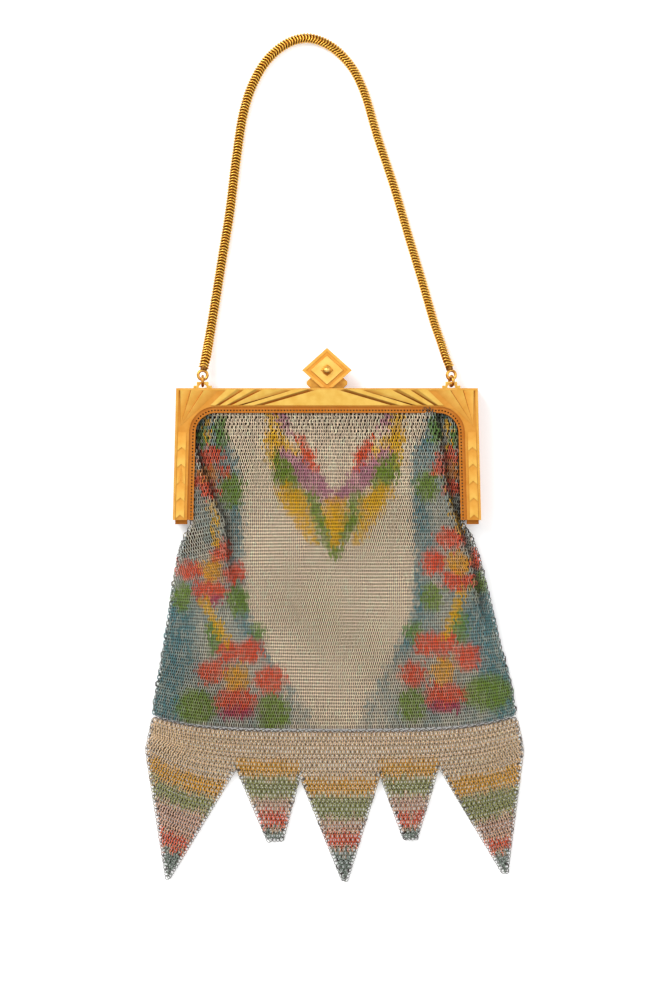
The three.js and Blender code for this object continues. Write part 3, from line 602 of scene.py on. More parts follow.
def spray(x, y, jitter):
    """How the panels and motifs lie over the tan ground at each ring, as linear RGBA."""
    p = bpy.context.scene.purse_paint
    palette = {
        key: np.array(linear(getattr(p, key)))
        for key in ("tan", "blue", "green", "leaf", "red", "magenta", "orange", "yellow", "heart", "mauve")
    }
    colour = np.tile(palette["tan"], (len(x), 1))
    jx, jy = x + jitter[:, 0] * 0.75, y + jitter[:, 1] * 0.75
    # Ring by ring, some of the colour has worn through to the ground.
    worn = 1 - 0.35 * np.abs(np.sin(jitter[:, 0] * 7.0 + jitter[:, 1] * 3.0)) ** 3

    def cover(key, amount):
        nonlocal colour
        amount = (np.clip(amount, 0.0, 1.0) * worn)[:, None]
        colour = colour * (1 - amount) + palette[key] * amount

    table = np.array(PANELS)[::-1]
    left = jx - np.interp(jy, table[:, 0], table[:, 1])
    right = np.interp(jy, table[:, 0], table[:, 2]) - jx
    into = -np.minimum(left, right)
    streaks = 0.5 + 0.5 * np.sin(jx * 1.7 + 2.0 * np.sin(jx * 0.31))
    pale = smooth(-jy, 84.0, 96.0) * (1 - smooth(into, 4.0, 14.0))
    rim = reach(jy, jx) - np.abs(jx)
    outer = 1.3 * (1 - smooth(rim, 4.0, 14.0)) * smooth(-jy, 55.0, 80.0)
    depth = 0.62 + 0.33 * np.exp(-((into / 5.5) ** 2)) + 0.4 * outer + 0.1 * np.sin(jx * 0.5 + jy * 0.21)
    fade = (1 - pale * (0.2 + 0.5 * streaks)) * smooth(jy, -117.5, -112.5)
    cover("blue", smooth(into, -1.2, 1.8) * np.minimum(depth, 0.95) * fade)

    for key, cx, cy, rx, ry in SPOTS:
        far = np.hypot((jx - cx) / rx, (jy - cy) / ry)
        cover(key, 0.93 * (1 - smooth(far, 0.72, 1.18)))
    mirrored = [(c, a, b, *[(2 * CHEVRON_MIDDLE - px, py) for px, py in pts]) for c, a, b, *pts in CHEVRON]
    for key, start, end, *pts in LINES + CHEVRON + mirrored:
        for (x0, y0), (x1, y1) in zip(pts, pts[1:]):
            dx, dy = x1 - x0, y1 - y0
            along = np.clip(((jx - x0) * dx + (jy - y0) * dy) / (dx**2 + dy**2), 0, 1)
            far = np.hypot(jx - x0 - along * dx, jy - y0 - along * dy)
            half = start + (end - start) * along
            cover(key, 0.93 * (1 - smooth(far, half * 0.6, half * 1.25)))
    return colour


def spray_skirt(x, drop, jitter):
    """Bands of colour down each point of the skirt."""
    p = bpy.context.scene.purse_paint
    colour = np.tile(np.array(linear(p.tan)), (len(x), 1))
    low = -1000.0
    at = drop + jitter[:, 1] * 0.9
    for end, *starts in SKIRT_BANDS:
        here = (x > low) & (x <= end)
        low = end
        stops = [*starts, 80.0]
        for key, share, begin, finish in zip(
            ("yellow", "band_green", "mauve", "red", "blue"), (0.85, 0.8, 0.4, 0.85, 0.8), stops, stops[1:]
        ):
            fade_out = 1 - smooth(at, finish - 2.2, finish + 0.4)
            if key == "blue":
                fade_out = 1.0
            amount = smooth(at, begin - 1.2, begin + 1.2) * fade_out
            amount = (share * amount * here)[:, None]
            colour = colour * (1 - amount) + np.array(linear(getattr(p, key))) * amount
    return colour


def weave_grid(rows, half_count):
    """Row and column of each ring, with half_count columns on each side of the middle one."""
    r, c = np.meshgrid(np.arange(rows), np.arange(-half_count, half_count + 1), indexing="ij")
    return r.ravel(), c.ravel()


def front_rings(props, rng):
    """Centres, turns and colours of the front mesh's rings, in rows down from the rail."""
    pitch, row_step = props.ring_pitch * 1000, props.row_step * 1000
    rows = int((MOUTH + 1.9 - HEM) / row_step)
    half_count = int(HEM_HALF / pitch)
    r, c = weave_grid(rows, half_count)
    s = (c + 0.5 * (r % 2)) * pitch
    share = s / HEM_HALF
    y_middle = MOUTH + 1.9 - r * row_step
    drop = np.clip((FOOT - y_middle) / (FOOT - HEM), 0.0, 1.0)
    side = np.where(s < 0, -1, 1)
    y = y_middle + HEM_RISE * drop**2 * np.abs(share) ** 4
    edge = reach(y, side) - side * CLOTH_MIDDLE
    squeeze = np.maximum(edge / HEM_HALF, 0.915)
    taken = np.maximum(HEM_HALF * squeeze - edge, 0.0)
    centre_x = CLOTH_MIDDLE + s * squeeze
    side_x = centre_x - side * taken
    pleat_r = np.interp(-y, [-p[1] for p in RIGHT_PLEAT], [p[0] for p in RIGHT_PLEAT])
    pleat_l = np.interp(-y, [-p[1] for p in LEFT_PLEAT], [p[0] for p in LEFT_PLEAT])
    pleat = np.where(side < 0, pleat_l, pleat_r)
    hidden = np.minimum(2.6, taken / 2)
    strength = smooth(taken, 0.5, 5.0)
    centre_gap = pleat - side * centre_x
    side_gap = side * side_x - pleat
    right = side > 0
    in_centre = np.where(right, centre_gap >= 0, (centre_gap >= -hidden) & (side_gap < 0))
    in_side = np.where(right, (side_gap >= -hidden) & (centre_gap < 0), side_gap >= 0)
    x = np.where(in_centre, centre_x, side_x)
    # The side panels hang outwards, so their rows droop away from the pleat.
    droop = 0.3 * np.exp(-(((y + 56.0) / 22.0) ** 2)) * strength
    moved = np.where(in_centre, y, y - droop * np.maximum(side_gap, 0.0))
    far = reach(y, side)
    further = reach(moved, side) - far
    x = np.where(in_centre, x, x + side * further * np.clip(side_gap / (far - pleat), 0.0, 1.0))
    y = moved + 0.12 * np.sin(x / 9.0 + 3.0 * np.sin(y / 13.0))
    keep = (in_centre | in_side) & (side * x <= reach(y, side))
    x, y, s, r, c, side = (a[keep] for a in (x, y, s, r, c, side))
    in_centre, strength, share = in_centre[keep], strength[keep], share[keep]
    gap = np.where(in_centre, centre_gap[keep], side_gap[keep])
    over = np.where(side > 0, in_centre, ~in_centre)

    def surface(px, py):
        away = gap + np.where(in_centre, -1, 1) * side * (px - x)
        free = np.maximum(smooth(reach(py, side) - side * px, 1.2, 4.5), smooth(FOOT - py, -1.0, 5.0))
        lifted = pleat_height(away, py, strength, True) * free
        sunk = pleat_height(away, py, strength, False)
        return front_height(px, py) + np.where(over, lifted, sunk)

    z = surface(x, y)
    step = 0.35
    slope_x = (surface(x + step, y) - surface(x - step, y)) / (2 * step)
    slope_y = (surface(x, y + step) - surface(x, y - step)) / (2 * step)
    row_slope = side * 4 * HEM_RISE * drop[keep] ** 2 * np.abs(share) ** 3 / HEM_HALF
    row_slope = row_slope - side * np.where(in_centre, 0.0, droop[keep])
    along = np.stack([np.ones_like(x), row_slope, slope_x + slope_y * row_slope], axis=1)
    across = np.stack([-row_slope, np.ones_like(x), slope_y], axis=1)
    # Under the rail the crowded columns buckle in turn, which opens bigger holes between them.
    crowd = np.exp(-np.maximum(MOUTH - y, 0.0) / 13.0)
    x = x + 0.12 * crowd * np.where((c + r // 2) % 2 == 0, 1, -1) + 0.05 * crowd * rng.normal(size=len(x))
    z = z - 0.45 * crowd * ((c + r // 2) % 2)
    uneven = 5 * np.sin(x / 11 + 1.7 * np.sin(y / 15)) + 4 * np.sin(y / 7 + x / 19)
    uneven = uneven + 9 * crowd * rng.normal(size=len(x))
    colour = spray(x, y, rng.normal(size=(len(x), 2)))
    # Behind the rail and under the folds the photo is dark, and the colour holds part of that shade.
    behind = np.where(y > FOOT + 1.0, 1 - smooth(reach(y, side) - side * x, 0.8, 1.5), 0.0)
    colour *= (1 - RAIL_SHADE * np.maximum(behind, smooth(y, MOUTH + 0.1, MOUTH + 0.5)))[:, None]
    colour *= (1 - FOLD_SHADE * np.where(over, 0.0, strength * np.exp(-((gap / 1.8) ** 2))))[:, None]
    return lay(x, y, z, along, across, r, props, rng, colour, uneven=uneven)


def back_rings(props, rng):
    """The back mesh lies flat under the front one. Its weave is drawn coarser, of bigger rings."""
    pitch, row_step = props.ring_pitch * 2400, props.row_step * 1250
    rows = int((MOUTH + 0.9 - HEM) / row_step)
    half_count = int(72 / pitch)
    r, c = weave_grid(rows, half_count)
    y_middle = MOUTH + 0.9 - r * row_step
    x = CLOTH_MIDDLE + (c + 0.5 * (r % 2)) * pitch
    drop = np.clip((FOOT - y_middle) / (FOOT - HEM), 0.0, 1.0)
    share = (x - CLOTH_MIDDLE) / HEM_HALF
    y = y_middle + HEM_RISE * drop**2 * np.abs(share) ** 4
    keep = (x <= reach(y, 1)) & (x >= -reach(y, -1))
    x, y, r = x[keep], y[keep], r[keep]
    z = back_height(x, y)
    slope_x = (back_height(x + 0.3, y) - back_height(x - 0.3, y)) / 0.6
    slope_y = (back_height(x, y + 0.3) - back_height(x, y - 0.3)) / 0.6
    along = np.stack([np.ones_like(x), np.zeros_like(x), slope_x], axis=1)
    across = np.stack([np.zeros_like(x), np.ones_like(x), slope_y], axis=1)
    colour = spray(x, y, rng.normal(size=(len(x), 2)))
    return lay(x, y, z, along, across, r, props, rng, colour, turn=32)


def seam_rings(props, rng):
    """Looser rings that join the skirt to the hem, leaning one way and the other."""
    step = 1.5
    count = int(2 * 62.0 / step)
    s = (np.arange(count) - count / 2 + 0.5) * step
    k = np.arange(count)
    x = CLOTH_MIDDLE + s
    y = HEM + HEM_RISE * np.abs(s / HEM_HALF) ** 4 + np.where(k % 2 == 0, 0.15, -0.15)
    slope = 4 * HEM_RISE * np.sign(s) * np.abs(s / HEM_HALF) ** 3 / HEM_HALF
    z = np.full(count, 2.0)
    twist = np.where(k % 2 == 0, 0.5, -0.5)
    along = np.stack([np.cos(twist), np.sin(twist) + slope, 0 * x], axis=1)
    across = np.stack([-np.sin(twist) - slope, np.cos(twist), 0 * x - 0.5], axis=1)
    # The seam's rings are the tan paint darkened, as painted shade.
    colour = np.tile(np.array(linear(bpy.context.scene.purse_paint.tan)) * SEAM_SHADE, (count, 1))
    return lay(x, y, z, along, across, k, props, rng, colour, turn=35)


def edge_rings(props, rng):
    """Rings along the sides of the pouch, half turned, and flat ones round the skirt's points."""
    groups = []
    p = bpy.context.scene.purse_paint
    for side in (-1, 1):
        y = np.arange(-108.5, FOOT - 1.5, 1.18)
        x = side * reach(y, side) - side * 0.1
        z = np.full_like(y, 1.75) + 2.0 * smooth(y, -60.0, -44.0)
        along = np.stack([0.5 + 0 * y, 0 * y, -0.87 * side + 0 * y], axis=1)
        across = np.stack([0 * y, 1 + 0 * y, 0 * y], axis=1)
        # Coloured far darker than the paints, as painted shade down the pouch's sides.
        colour = 0.14 * np.tile(np.array(linear(p.blue)), (len(y), 1)) + 0.08 * np.array(linear(p.tan))
        groups.append(lay(x, y, z, along, across, np.arange(len(y)), props, rng, colour, turn=22))
    outline = [SKIRT_ENDS[0], *SKIRT, SKIRT_ENDS[1]]
    step = 1.19
    walk, left = [], 0.0
    for (x0, y0), (x1, y1) in zip(outline, outline[1:]):
        length = math.hypot(x1 - x0, y1 - y0)
        ux, uy = (x1 - x0) / length, (y1 - y0) / length
        at = left
        while at < length:
            walk.append((x0 + ux * at, y0 + uy * at, ux, uy))
            at += step
        left = at - length
    walk = np.array(walk)
    # Each ring sits just inside the cut edge, which lies on its left as the outline is followed.
    x = walk[:, 0] - walk[:, 3] * 0.55
    y = walk[:, 1] + walk[:, 2] * 0.55
    along = np.stack([walk[:, 2], walk[:, 3], 0 * x], axis=1)
    across = np.stack([-walk[:, 3], walk[:, 2], 0 * x], axis=1)
    drop = HEM + HEM_RISE * np.abs((x - CLOTH_MIDDLE) / HEM_HALF) ** 4 - y
    # Darkened well below the skirt's paint, as painted shade round its points.
    colour = 0.4 * spray_skirt(x, drop, np.zeros((len(x), 2))) + 0.12 * np.array(linear(p.tan))
    z = np.full_like(x, 1.6)
    groups.append(lay(x, y, z, along, across, np.arange(len(x)), props, rng, colour, turn=18))
    return tuple(np.concatenate(kind) for kind in zip(*groups))


def inside(x, y, outline):
    """Which points lie inside a closed outline."""
    found = np.zeros(len(x), bool)
    for (x0, y0), (x1, y1) in zip(outline, outline[1:] + outline[:1]):
        crosses = (y0 > y) != (y1 > y)
        at = x0 + (y - y0) * (x1 - x0) / np.where(y1 == y0, 1e-9, y1 - y0)
        found ^= crosses & (x < at)
    return found


def skirt_rings(props, rng, under=False):
    """Two thicknesses of rings below the hem, in five points. The one underneath is drawn coarser."""
    pitch, row_step = props.ring_pitch * 1030, props.row_step * 1020
    if under:
        pitch, row_step = pitch * 1.9, row_step * 1.3
    rows = int(56.0 / row_step)
    half_count = int(66.0 / pitch) + 1
    r, c = weave_grid(rows, half_count)
    s = (c + 0.5 * (r % 2)) * pitch
    drop = 0.9 + r * row_step
    spread = 1 + 0.045 * smooth(drop, 0.0, 10.0)
    x = CLOTH_MIDDLE + s * spread
    share = np.abs(s / HEM_HALF)
    rise = HEM_RISE + np.where(s < 0, 6.0, 2.0) * smooth(drop, 0.0, 16.0)
    y = HEM - drop + rise * share**4
    hem = [(-60.4, HEM + 4.8), *inner_skirt(0.75), (65.8, HEM + 4.8)]
    at = (0.97, 0.85, 0.7, 0.45, 0, -0.45, -0.7, -0.85, -0.97)
    top = [(CLOTH_MIDDLE + q * HEM_HALF, HEM + HEM_RISE * abs(q) ** 4 - 0.4) for q in at]
    keep = inside(x, y, hem + top)
    x, y, r, s, drop, share, rise = (a[keep] for a in (x, y, r, s, drop, share, rise))
    z = LAYER + 0.12 * (1 + np.sin(x / 5.0)) * np.exp(-drop / 20.0)
    if not under:
        z = z + 2 * LAYER + 0.03
    row_slope = np.sign(s) * 4 * rise * share**3 / HEM_HALF
    along = np.stack([np.ones_like(x), row_slope, np.zeros_like(x)], axis=1)
    across = np.stack([-row_slope, np.ones_like(x), np.zeros_like(x)], axis=1)
    colour = spray_skirt(x, drop, rng.normal(size=(len(x), 2)))
    colour = colour * (SKIRT_UNDER_SHADE if under else SKIRT_SHADE) * SKIRT_TINT
    return lay(x, y, z, along, across, r, props, rng, colour, turn=20 if under else 42)


def inner_skirt(inset):
    """The skirt's outline moved in, to leave room for its edge rings."""
    pts = [Vector(p) for p in SKIRT]
    moved = []
    first, last = (Vector(end) for end in SKIRT_ENDS)
    for before, here, after in zip([first, *pts], pts, [*pts[1:], last]):
        sides = [(here - before).normalized(), (after - here).normalized()]
        normals = [Vector((-d.y, d.x)) for d in sides]
        middle = (normals[0] + normals[1]).normalized()
        moved.append(tuple(here + middle * min(inset / max(middle.dot(normals[0]), 0.35), 2.0)))
    return moved


def lay(x, y, z, along, across, rows, props, rng, colour, turn=None, uneven=0.0):
    """Puts the rings in place, each row turned against the next, none below the floor.

    turn replaces the turn set in the sidebar, and uneven adds to it ring by ring, both in degrees.
    """
    count = len(x)
    angle = math.radians(turn) if turn is not None else props.ring_turn
    turned = np.where(rows % 2 == 0, 1, -1) * (angle + np.radians(uneven))
    turned = turned + rng.normal(0, math.radians(3.0), count)
    turns = ring_turns(along, across, turned, rng.normal(0, math.radians(5), count))
    places = np.stack([x, y, z], axis=1) * MM
    places[:, :2] += rng.normal(0, 0.025 * MM, (count, 2))
    below = UNDER_SIZE * props.ring_radius * np.sqrt(np.maximum(1 - turns[:, 2, 2] ** 2, 0.0))
    places[:, 2] = np.maximum(places[:, 2], below + UNDER_WIRE * props.wire_radius)
    shade = np.clip(1 + rng.normal(0, 0.09, count), 0.7, 1.3)[:, None]
    colour = np.clip(np.concatenate([colour[:, :3] * shade, np.ones((count, 1))], axis=1), 0, 1)
    return places, turns, colour


# The weave is drawn a little coarser than the real one, whose rings stand about 0.7 mm apart in rows
# about 1.07 mm apart, to keep the count of faces down.
class PURSE_PG_sizes(bpy.types.PropertyGroup):
    ring_pitch: bpy.props.FloatProperty(
        name="Ring pitch", description="From ring to ring along a row", default=0.78 * MM, unit="LENGTH"
    )
    row_step: bpy.props.FloatProperty(
        name="Row step", description="From row to row of rings", default=1.16 * MM, unit="LENGTH"
    )
    ring_radius: bpy.props.FloatProperty(
        name="Ring radius", description="To the middle of a ring's wire", default=0.82 * MM, unit="LENGTH"
    )
    wire_radius: bpy.props.FloatProperty(
        name="Wire radius", description="Of the rings' wire", default=0.15 * MM, unit="LENGTH"
    )
    ring_turn: bpy.props.FloatProperty(
        name="Ring turn",
        description="Of the crowded rings out of the mesh",
        default=math.radians(44.5),
        unit="ROTATION",
    )
    link_pitch: bpy.props.FloatProperty(
        name="Link pitch", description="From link to link of the snake chain", default=1.0 * MM, unit="LENGTH"
    )
    gilt: bpy.props.StringProperty(
        name="Gilt", description="sRGB colour of the frame's raised faces", default="#E0B85C"
    )


class PURSE_PG_paint(bpy.types.PropertyGroup):
    """Colours of the paint, a row each in PAINTS"""

    __annotations__ = {
        key: bpy.props.StringProperty(
            name=key.replace("_", " ").capitalize(), description="sRGB colour " + use, default=code
        )
        for key, (use, code) in PAINTS.items()
    }


class PURSE_OT_frame(bpy.types.Operator):
    """Softens the edges of the two stamped halves of the frame and gilds them"""

    bl_idname = "purse.frame"
    bl_label = "Gilt frame"

    def execute(self, context):
        crest = context.scene.purse_sizes.gilt
        # Deeper orange towards the frame's lower faces: painted shade by height.
        slopes = [(0.0, "#A8692C"), (0.3, "#B87030"), (0.62, "#C07A32"), (0.76, "#D08E3C"), (0.9, "#DEA850")]
        stops = [*slopes, (1.0, crest)]
        gilt = gilt_brass("gilt_brass", 3.0, 5.85, stops, step_shade=0.62)
        for name in ("front_frame", "back_frame"):
            dressed_copy(name, 0.2, gilt)
        pins = plain_gilt("turned_brass_pins", "#C8924A", "#8A5A28", 0.4, 900.0)
        for name in ("hinge_pin_left", "hinge_pin_right"):
            dressed_copy(name, 0.12, pins)
        return {"FINISHED"}


class PURSE_OT_clasp(bpy.types.Operator):
    """Makes the clasp's two diamond plates"""

    bl_idname = "purse.clasp"
    bl_label = "Diamond clasp"

    def execute(self, context):
        # Deeper orange lower down the plate: painted shade by height.
        stops = [(0.0, "#D9923C"), (0.45, "#E8A84C"), (0.6, "#F2C566"), (1.0, "#F4CC72")]
        front = gilt_brass("pressed_brass_clasp", 1.4, 3.4, stops, step_shade=0.3)
        back = plain_gilt("pressed_brass_back", "#E2A84C", "#C4823A", 0.4, 500.0)
        dressed_copy("clasp_front", 0.13, front)
        dressed_copy("clasp_back", 0.14, back)
        return {"FINISHED"}


class PURSE_OT_shade_sheet(bpy.types.Operator):
    """Lays a thin dark sheet between the pouch's two walls of mesh, painted shade that darkens the mesh's
    holes
    """

    bl_idname = "purse.lining"
    bl_label = "Lining"

    def execute(self, context):
        deselect()
        bpy.ops.mesh.primitive_grid_add(x_subdivisions=56, y_subdivisions=56, size=1, location=(0, 0, 0))
        obj = bpy.context.object
        bpy.ops.object.transform_apply(location=True, rotation=True, scale=True)
        count = len(obj.data.vertices)
        flat = np.empty(count * 3)
        obj.data.vertices.foreach_get("co", flat)
        across, down = flat.reshape(-1, 3)[:, 0] * 2, flat.reshape(-1, 3)[:, 1] + 0.5
        y = HEM + 1.2 + (MOUTH - 0.2 - HEM - 1.2) * down
        half = reach(y, across) - SHADE_SHEET_INSET
        x = across * half
        drop = np.clip((FOOT - y) / (FOOT - HEM), 0.0, 1.0)
        low, high = back_height(x, y) + LAYER + 0.12, front_height(x, y) - LAYER - 0.7
        z = np.maximum(low, np.minimum(high, low + 1.2))
        y = y + HEM_RISE * drop**2 * np.abs(across) ** 4
        obj.data.vertices.foreach_set("co", (np.stack([x, y, z], axis=1) * MM).ravel())
        obj.data.update()
        bpy.ops.object.shade_smooth()
        # A thin dark sheet as painted shade, not a known lining: the holes of the mesh are dark against a
        # white ground.
        made, tree, shader = new_material("painted_shade_sheet")
        where = node(tree, "ShaderNodeTexCoord").outputs["Object"]
        threads = node(tree, "ShaderNodeTexNoise", {"Scale": 2500.0, "Detail": 1.0}, {"Vector": where})
        colour = ramp(tree, threads.outputs["Fac"], [(0.4, "#2A170A"), (0.6, "#3C2412")])
        tree.links.new(colour, shader.inputs["Base Color"])
        shader.inputs["Roughness"].default_value = 0.8
        finish_piece(obj, "lining", ["mesh_pouch"], made)
        return {"FINISHED"}


def wire_ring(name, place, turn, radius, wire, material, nodes):
    """A closed ring of round wire. Turn is about X, Y and Z in radians."""
    deselect()
    bpy.ops.mesh.primitive_torus_add(
        major_segments=32,
        minor_segments=12,
        major_radius=radius * MM,
        minor_radius=wire / 2 * MM,
        location=[p * MM for p in place],
        rotation=turn,
    )
    obj = bpy.context.object
    bpy.ops.object.transform_apply(location=True, rotation=True, scale=True)
    bpy.ops.object.shade_smooth()
    return finish_piece(obj, name, nodes, material)


class PURSE_OT_fittings(bpy.types.Operator):
    """Makes the lugs, the links through them and the rings that close the chain"""

    bl_idname = "purse.fittings"
    bl_label = "Lugs and links"

    def execute(self, context):
        lug = plain_gilt("cast_brass_lug", "#EFC260", "#D8993C", 0.36, 600.0)
        wire = plain_gilt("drawn_brass_wire", "#E0AC50", "#B47830", 0.28, 900.0)
        dark = plain_gilt("worn_brass_plug", "#9A6A30", "#5A3A18", 0.45, 900.0)
        for side, name, turn in ((-1, "left", 0.0), (1, "right", 0.4)):
            dressed_copy("lug_" + name, 0.14, lug)
            wire_ring(
                "link_" + name + "_wire",
                (side * LUG_X, LINK_Y, LUG_Z),
                (0, math.pi / 2 + turn, 0),
                1.72,
                1.0,
                wire,
                ["link_" + name],
            )
            wire_ring(
                "eyelet_" + name,
                (side * LUG_X, EYELET_Y, LUG_Z),
                (0, turn, 0),
                1.6,
                1.05,
                wire,
                ["chain_end_" + name],
            )
            deselect()
            along = Vector(CHAIN_ROUTE[1 if side < 0 else -2]) - Vector((side * LUG_X, EYELET_Y, LUG_Z))
            middle = Vector((side * LUG_X, EYELET_Y, LUG_Z)) + along.normalized() * 3.0
            bpy.ops.mesh.primitive_cylinder_add(
                vertices=20,
                radius=1.25 * MM,
                depth=2.4 * MM,
                location=middle * MM,
                rotation=along.to_track_quat("Z", "Y").to_euler(),
            )
            plug = bpy.context.object
            soften = plug.modifiers.new("soft_edges", "BEVEL")
            soften.width = 0.3 * MM
            soften.segments = 3
            bpy.ops.object.modifier_apply(modifier=soften.name)
            bpy.ops.object.transform_apply(location=True, rotation=True, scale=True)
            bpy.ops.object.shade_smooth_by_angle(angle=math.radians(40))
            finish_piece(plug, "chain_plug_" + name, ["chain_end_" + name], dark)
        return {"FINISHED"}


def rounded_route(points, per_span=24):
    """A smooth line through the points, by centripetal Catmull-Rom."""
    pts = np.array(points, float)
    pts = np.vstack([2 * pts[0] - pts[1], pts, 2 * pts[-1] - pts[-2]])
    out = []
    for i in range(1, len(pts) - 2):
        p0, p1, p2, p3 = pts[i - 1 : i + 3]
        t = [0.0]
        for a, b in ((p0, p1), (p1, p2), (p2, p3)):
            t.append(t[-1] + math.sqrt(np.linalg.norm(b - a)))
        for k in range(per_span):
            u = t[1] + (t[2] - t[1]) * k / per_span
            a1 = ((t[1] - u) * p0 + (u - t[0]) * p1) / (t[1] - t[0])
            a2 = ((t[2] - u) * p1 + (u - t[1]) * p2) / (t[2] - t[1])
            a3 = ((t[3] - u) * p2 + (u - t[2]) * p3) / (t[3] - t[2])
            b1 = ((t[2] - u) * a1 + (u - t[0]) * a2) / (t[2] - t[0])
            b2 = ((t[3] - u) * a2 + (u - t[1]) * a3) / (t[3] - t[1])
            out.append(((t[2] - u) * b1 + (u - t[1]) * b2) / (t[2] - t[1]))
    out.append(pts[-2])
    return np.array(out)


class PURSE_OT_chain(bpy.types.Operator):
    """Threads the folded links of the snake chain along its route"""

    bl_idname = "purse.chain"
    bl_label = "Snake chain"

    def execute(self, context):
        pitch = context.scene.purse_sizes.link_pitch * 1000
        points, faces = template(major_segments=14, minor_segments=4, major_radius=1.0, minor_radius=0.2)
        # The torus becomes one link: oval, flattened, and folded to a chevron front and back.
        angle = np.arctan2(points[:, 1], points[:, 0])
        out = np.hypot(points[:, 0], points[:, 1]) - 1.0
        link = np.zeros_like(points)
        squared = np.sign(np.sin(angle)) * np.abs(np.sin(angle)) ** 0.7
        link[:, 0] = (1.68 + out * 1.0) * np.cos(angle)
        link[:, 1] = (1.15 + out * 1.5) * squared
        link[:, 2] = points[:, 2] * 1.5 + 0.5 * (1 - 2 * np.abs(np.cos(angle)) ** 1.1)
        # The first and last links hide the plugs, down to the rings that close the chain.
        line = rounded_route([(-43.1, 11.6, 4.6), *CHAIN_ROUTE[1:-1], (43.0, 11.6, 4.6)])
        length = np.concatenate([[0], np.cumsum(np.linalg.norm(np.diff(line, axis=0), axis=1))])
        count = int(length[-1] / pitch)
        at = (np.arange(count) + 0.5) * length[-1] / count
        places = np.stack([np.interp(at, length, line[:, k]) for k in range(3)], axis=1)
        ahead = np.stack([np.interp(at + 0.5, length, line[:, k]) for k in range(3)], axis=1)
        behind = np.stack([np.interp(at - 0.5, length, line[:, k]) for k in range(3)], axis=1)
        tangent = ahead - behind
        tangent /= np.linalg.norm(tangent, axis=1, keepdims=True)
        side = np.cross(tangent, [0, 0, 1.0])
        side /= np.linalg.norm(side, axis=1, keepdims=True)
        up = np.cross(side, tangent)
        # Past the top of the loop the chain lies turned on its edge.
        roll = (math.radians(62) * smooth(at, 0.47 * length[-1], 0.6 * length[-1]))[:, None]
        side, up = side * np.cos(roll) + up * np.sin(roll), up * np.cos(roll) - side * np.sin(roll)
        rng = np.random.default_rng(5)
        nod = rng.normal(0, 0.03, (count, 1))
        turns = np.stack([side, up + tangent * nod, tangent], axis=2)
        # No link reaches below the floor.
        lowest = np.einsum("nj,pj->np", turns[:, 2], link).min(axis=1)
        places[:, 2] = np.maximum(places[:, 2], 0.02 - lowest)
        obj = many("chain_links", link * MM, faces, turns, places * MM)
        material = plain_gilt("folded_brass_links", "#FFD364", "#F0AC40", 0.3, 1200.0)
        finish_piece(obj, "chain_links", ["chain"], material)
        # The insides of the folds, drawn as one inner ring a link and coloured dark as painted shade, so that
        # no floor shows between them.
        points, faces = template(major_segments=8, minor_segments=4, major_radius=1.0, minor_radius=0.2)
        core = points * (1.25, 0.8, 3.4)
        obj = many("chain_core", core * MM, faces, turns, places * MM)
        material = plain_gilt("painted_shade_folds", "#A4641E", "#74400E", 0.55, 1200.0)
        finish_piece(obj, "chain_core", ["chain"], material)
        return {"FINISHED"}


class PURSE_OT_mesh(bpy.types.Operator):
    """Links the painted rings of the pouch and the skirt"""

    bl_idname = "purse.mesh"
    bl_label = "Ring mesh"

    def execute(self, context):
        props = context.scene.purse_sizes
        rng = np.random.default_rng(11)
        material = painted_rings()
        sizes = dict(major_radius=props.ring_radius, minor_radius=props.wire_radius)
        crowded = template(math.pi / 6, major_segments=6, minor_segments=3, **sizes)
        under = dict(
            major_radius=props.ring_radius * UNDER_SIZE, minor_radius=props.wire_radius * UNDER_WIRE
        )
        stout = template(math.pi / 6, major_segments=6, minor_segments=3, **under)
        single = template(major_segments=10, minor_segments=4, **sizes)
        edging = template(major_segments=8, minor_segments=3, **sizes)
        for name, made, shape, parts, stands_for, side in (
            ("front_mesh", front_rings(props, rng), crowded, 3, ["mesh_pouch"], 1),
            ("back_mesh", back_rings(props, rng), stout, 2, ["mesh_pouch"], -1),
            ("skirt_front", skirt_rings(props, rng), crowded, 1, ["mesh_skirt"], 1),
            ("skirt_back", skirt_rings(props, rng, under=True), stout, 1, ["mesh_skirt"], -1),
            ("seam_rings", seam_rings(props, rng), single, 1, ["mesh_pouch"], 1),
            ("edge_rings", edge_rings(props, rng), edging, 1, ["mesh_pouch", "mesh_skirt"], 1),
        ):
            places, turns, colour = made
            order = np.argsort(-places[:, 1], kind="stable")
            for k, chosen in enumerate(np.array_split(order, parts)):
                piece = name if parts == 1 else f"{name}_{k + 1}"
                obj = many(piece, *shape, turns[chosen], places[chosen], colour[chosen], side)
                finish_piece(obj, piece, stands_for, material)
        return {"FINISHED"}


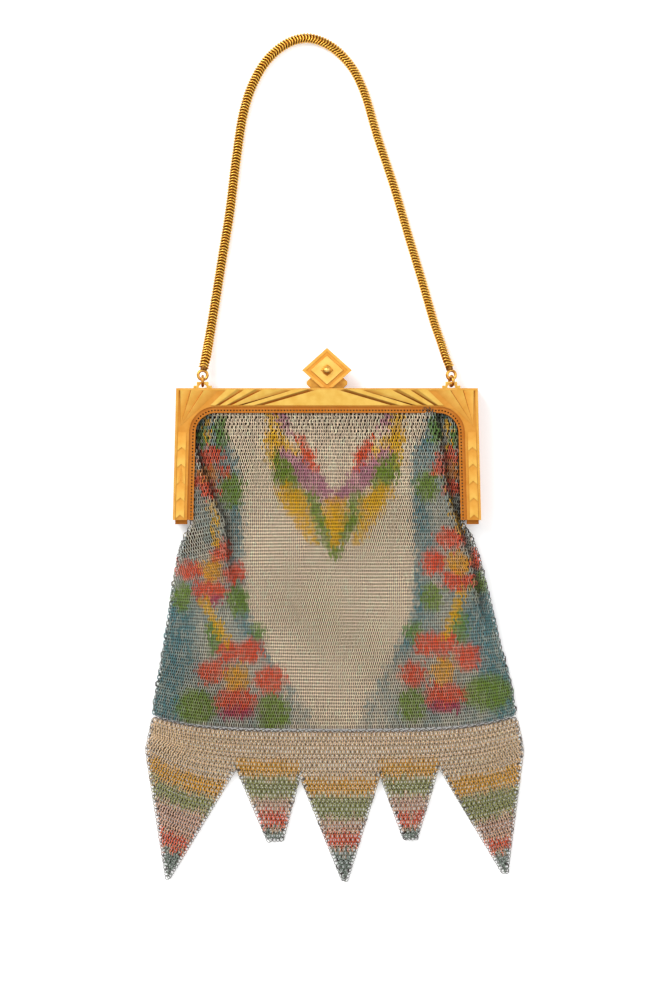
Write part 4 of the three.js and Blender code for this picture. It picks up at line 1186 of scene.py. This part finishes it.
class PURSE_OT_stage(bpy.types.Operator):
    """Lays the pale floor and sets the lights and the camera straight above"""

    bl_idname = "purse.stage"
    bl_label = "Stage"

    def execute(self, context):
        scene = context.scene
        deselect()
        bpy.ops.mesh.primitive_plane_add(size=4, location=(0, 0, -0.0003))
        floor = context.object
        floor.name = "floor"
        made, _, shader = new_material("white_paper")
        shader.inputs["Base Color"].default_value = linear("#FAFAFA")
        shader.inputs["Roughness"].default_value = 0.9
        shader.inputs["Specular IOR Level"].default_value = 0.1
        shader.inputs["Emission Color"].default_value = linear("#FFFFFF")
        shader.inputs["Emission Strength"].default_value = 0.25
        floor.data.materials.append(made)

        camera = bpy.data.objects.new("camera", bpy.data.cameras.new("camera"))
        scene.collection.objects.link(camera)
        camera.data.lens = 200
        camera.data.sensor_width = 36
        camera.data.clip_end = 20
        camera.location = (0.00105, -0.0329, 1.925)
        scene.camera = camera

        for name, place, size, power in (
            ("key", (-1.1, 1.0, 1.5), 1.1, 31.0),
            ("fill", (1.4, 0.4, 1.4), 1.5, 12.0),
            ("overhead", (0.0, 0.0, 2.3), 3.2, 21.0),
        ):
            light = bpy.data.objects.new(name, bpy.data.lights.new(name, "AREA"))
            light.data.size = size
            light.data.energy = power
            light.location = place
            aim = Vector((0, -0.03, 0)) - Vector(place)
            light.rotation_euler = aim.to_track_quat("-Z", "Y").to_euler()
            scene.collection.objects.link(light)
        world = bpy.data.worlds.new("studio")
        world.use_nodes = True
        world.node_tree.nodes["Background"].inputs["Color"].default_value = linear("#F4F4F4")
        world.node_tree.nodes["Background"].inputs["Strength"].default_value = 0.5
        scene.world = world
        scene.view_settings.view_transform = "Standard"
        return {"FINISHED"}


class PURSE_PT_panel(bpy.types.Panel):
    """Shows the purse's steps, sizes and paints in the sidebar"""

    bl_idname = "PURSE_PT_panel"
    bl_label = "Mesh purse"
    bl_space_type = "VIEW_3D"
    bl_region_type = "UI"
    bl_category = "Mesh purse"

    def draw(self, context):
        for step in STEPS:
            self.layout.operator(step.bl_idname)
        for group in (context.scene.purse_sizes, context.scene.purse_paint):
            for key in group.__annotations__:
                self.layout.prop(group, key)


STEPS = (
    PURSE_OT_stage,
    PURSE_OT_frame,
    PURSE_OT_clasp,
    PURSE_OT_fittings,
    PURSE_OT_chain,
    PURSE_OT_mesh,
    PURSE_OT_shade_sheet,
)
CLASSES = (PURSE_PG_sizes, PURSE_PG_paint, *STEPS, PURSE_PT_panel)


def register():
    for cls in CLASSES:
        bpy.utils.register_class(cls)
    bpy.types.Scene.purse_sizes = bpy.props.PointerProperty(type=PURSE_PG_sizes)
    bpy.types.Scene.purse_paint = bpy.props.PointerProperty(type=PURSE_PG_paint)


def unregister():
    del bpy.types.Scene.purse_paint
    del bpy.types.Scene.purse_sizes
    for cls in reversed(CLASSES):
        bpy.utils.unregister_class(cls)


def main():
    register()
    bpy.ops.purse.stage()
    bpy.ops.purse.frame()
    bpy.ops.purse.clasp()
    bpy.ops.purse.fittings()
    bpy.ops.purse.chain()
    bpy.ops.purse.mesh()
    bpy.ops.purse.lining()


if __name__ == "__main__":
    main()
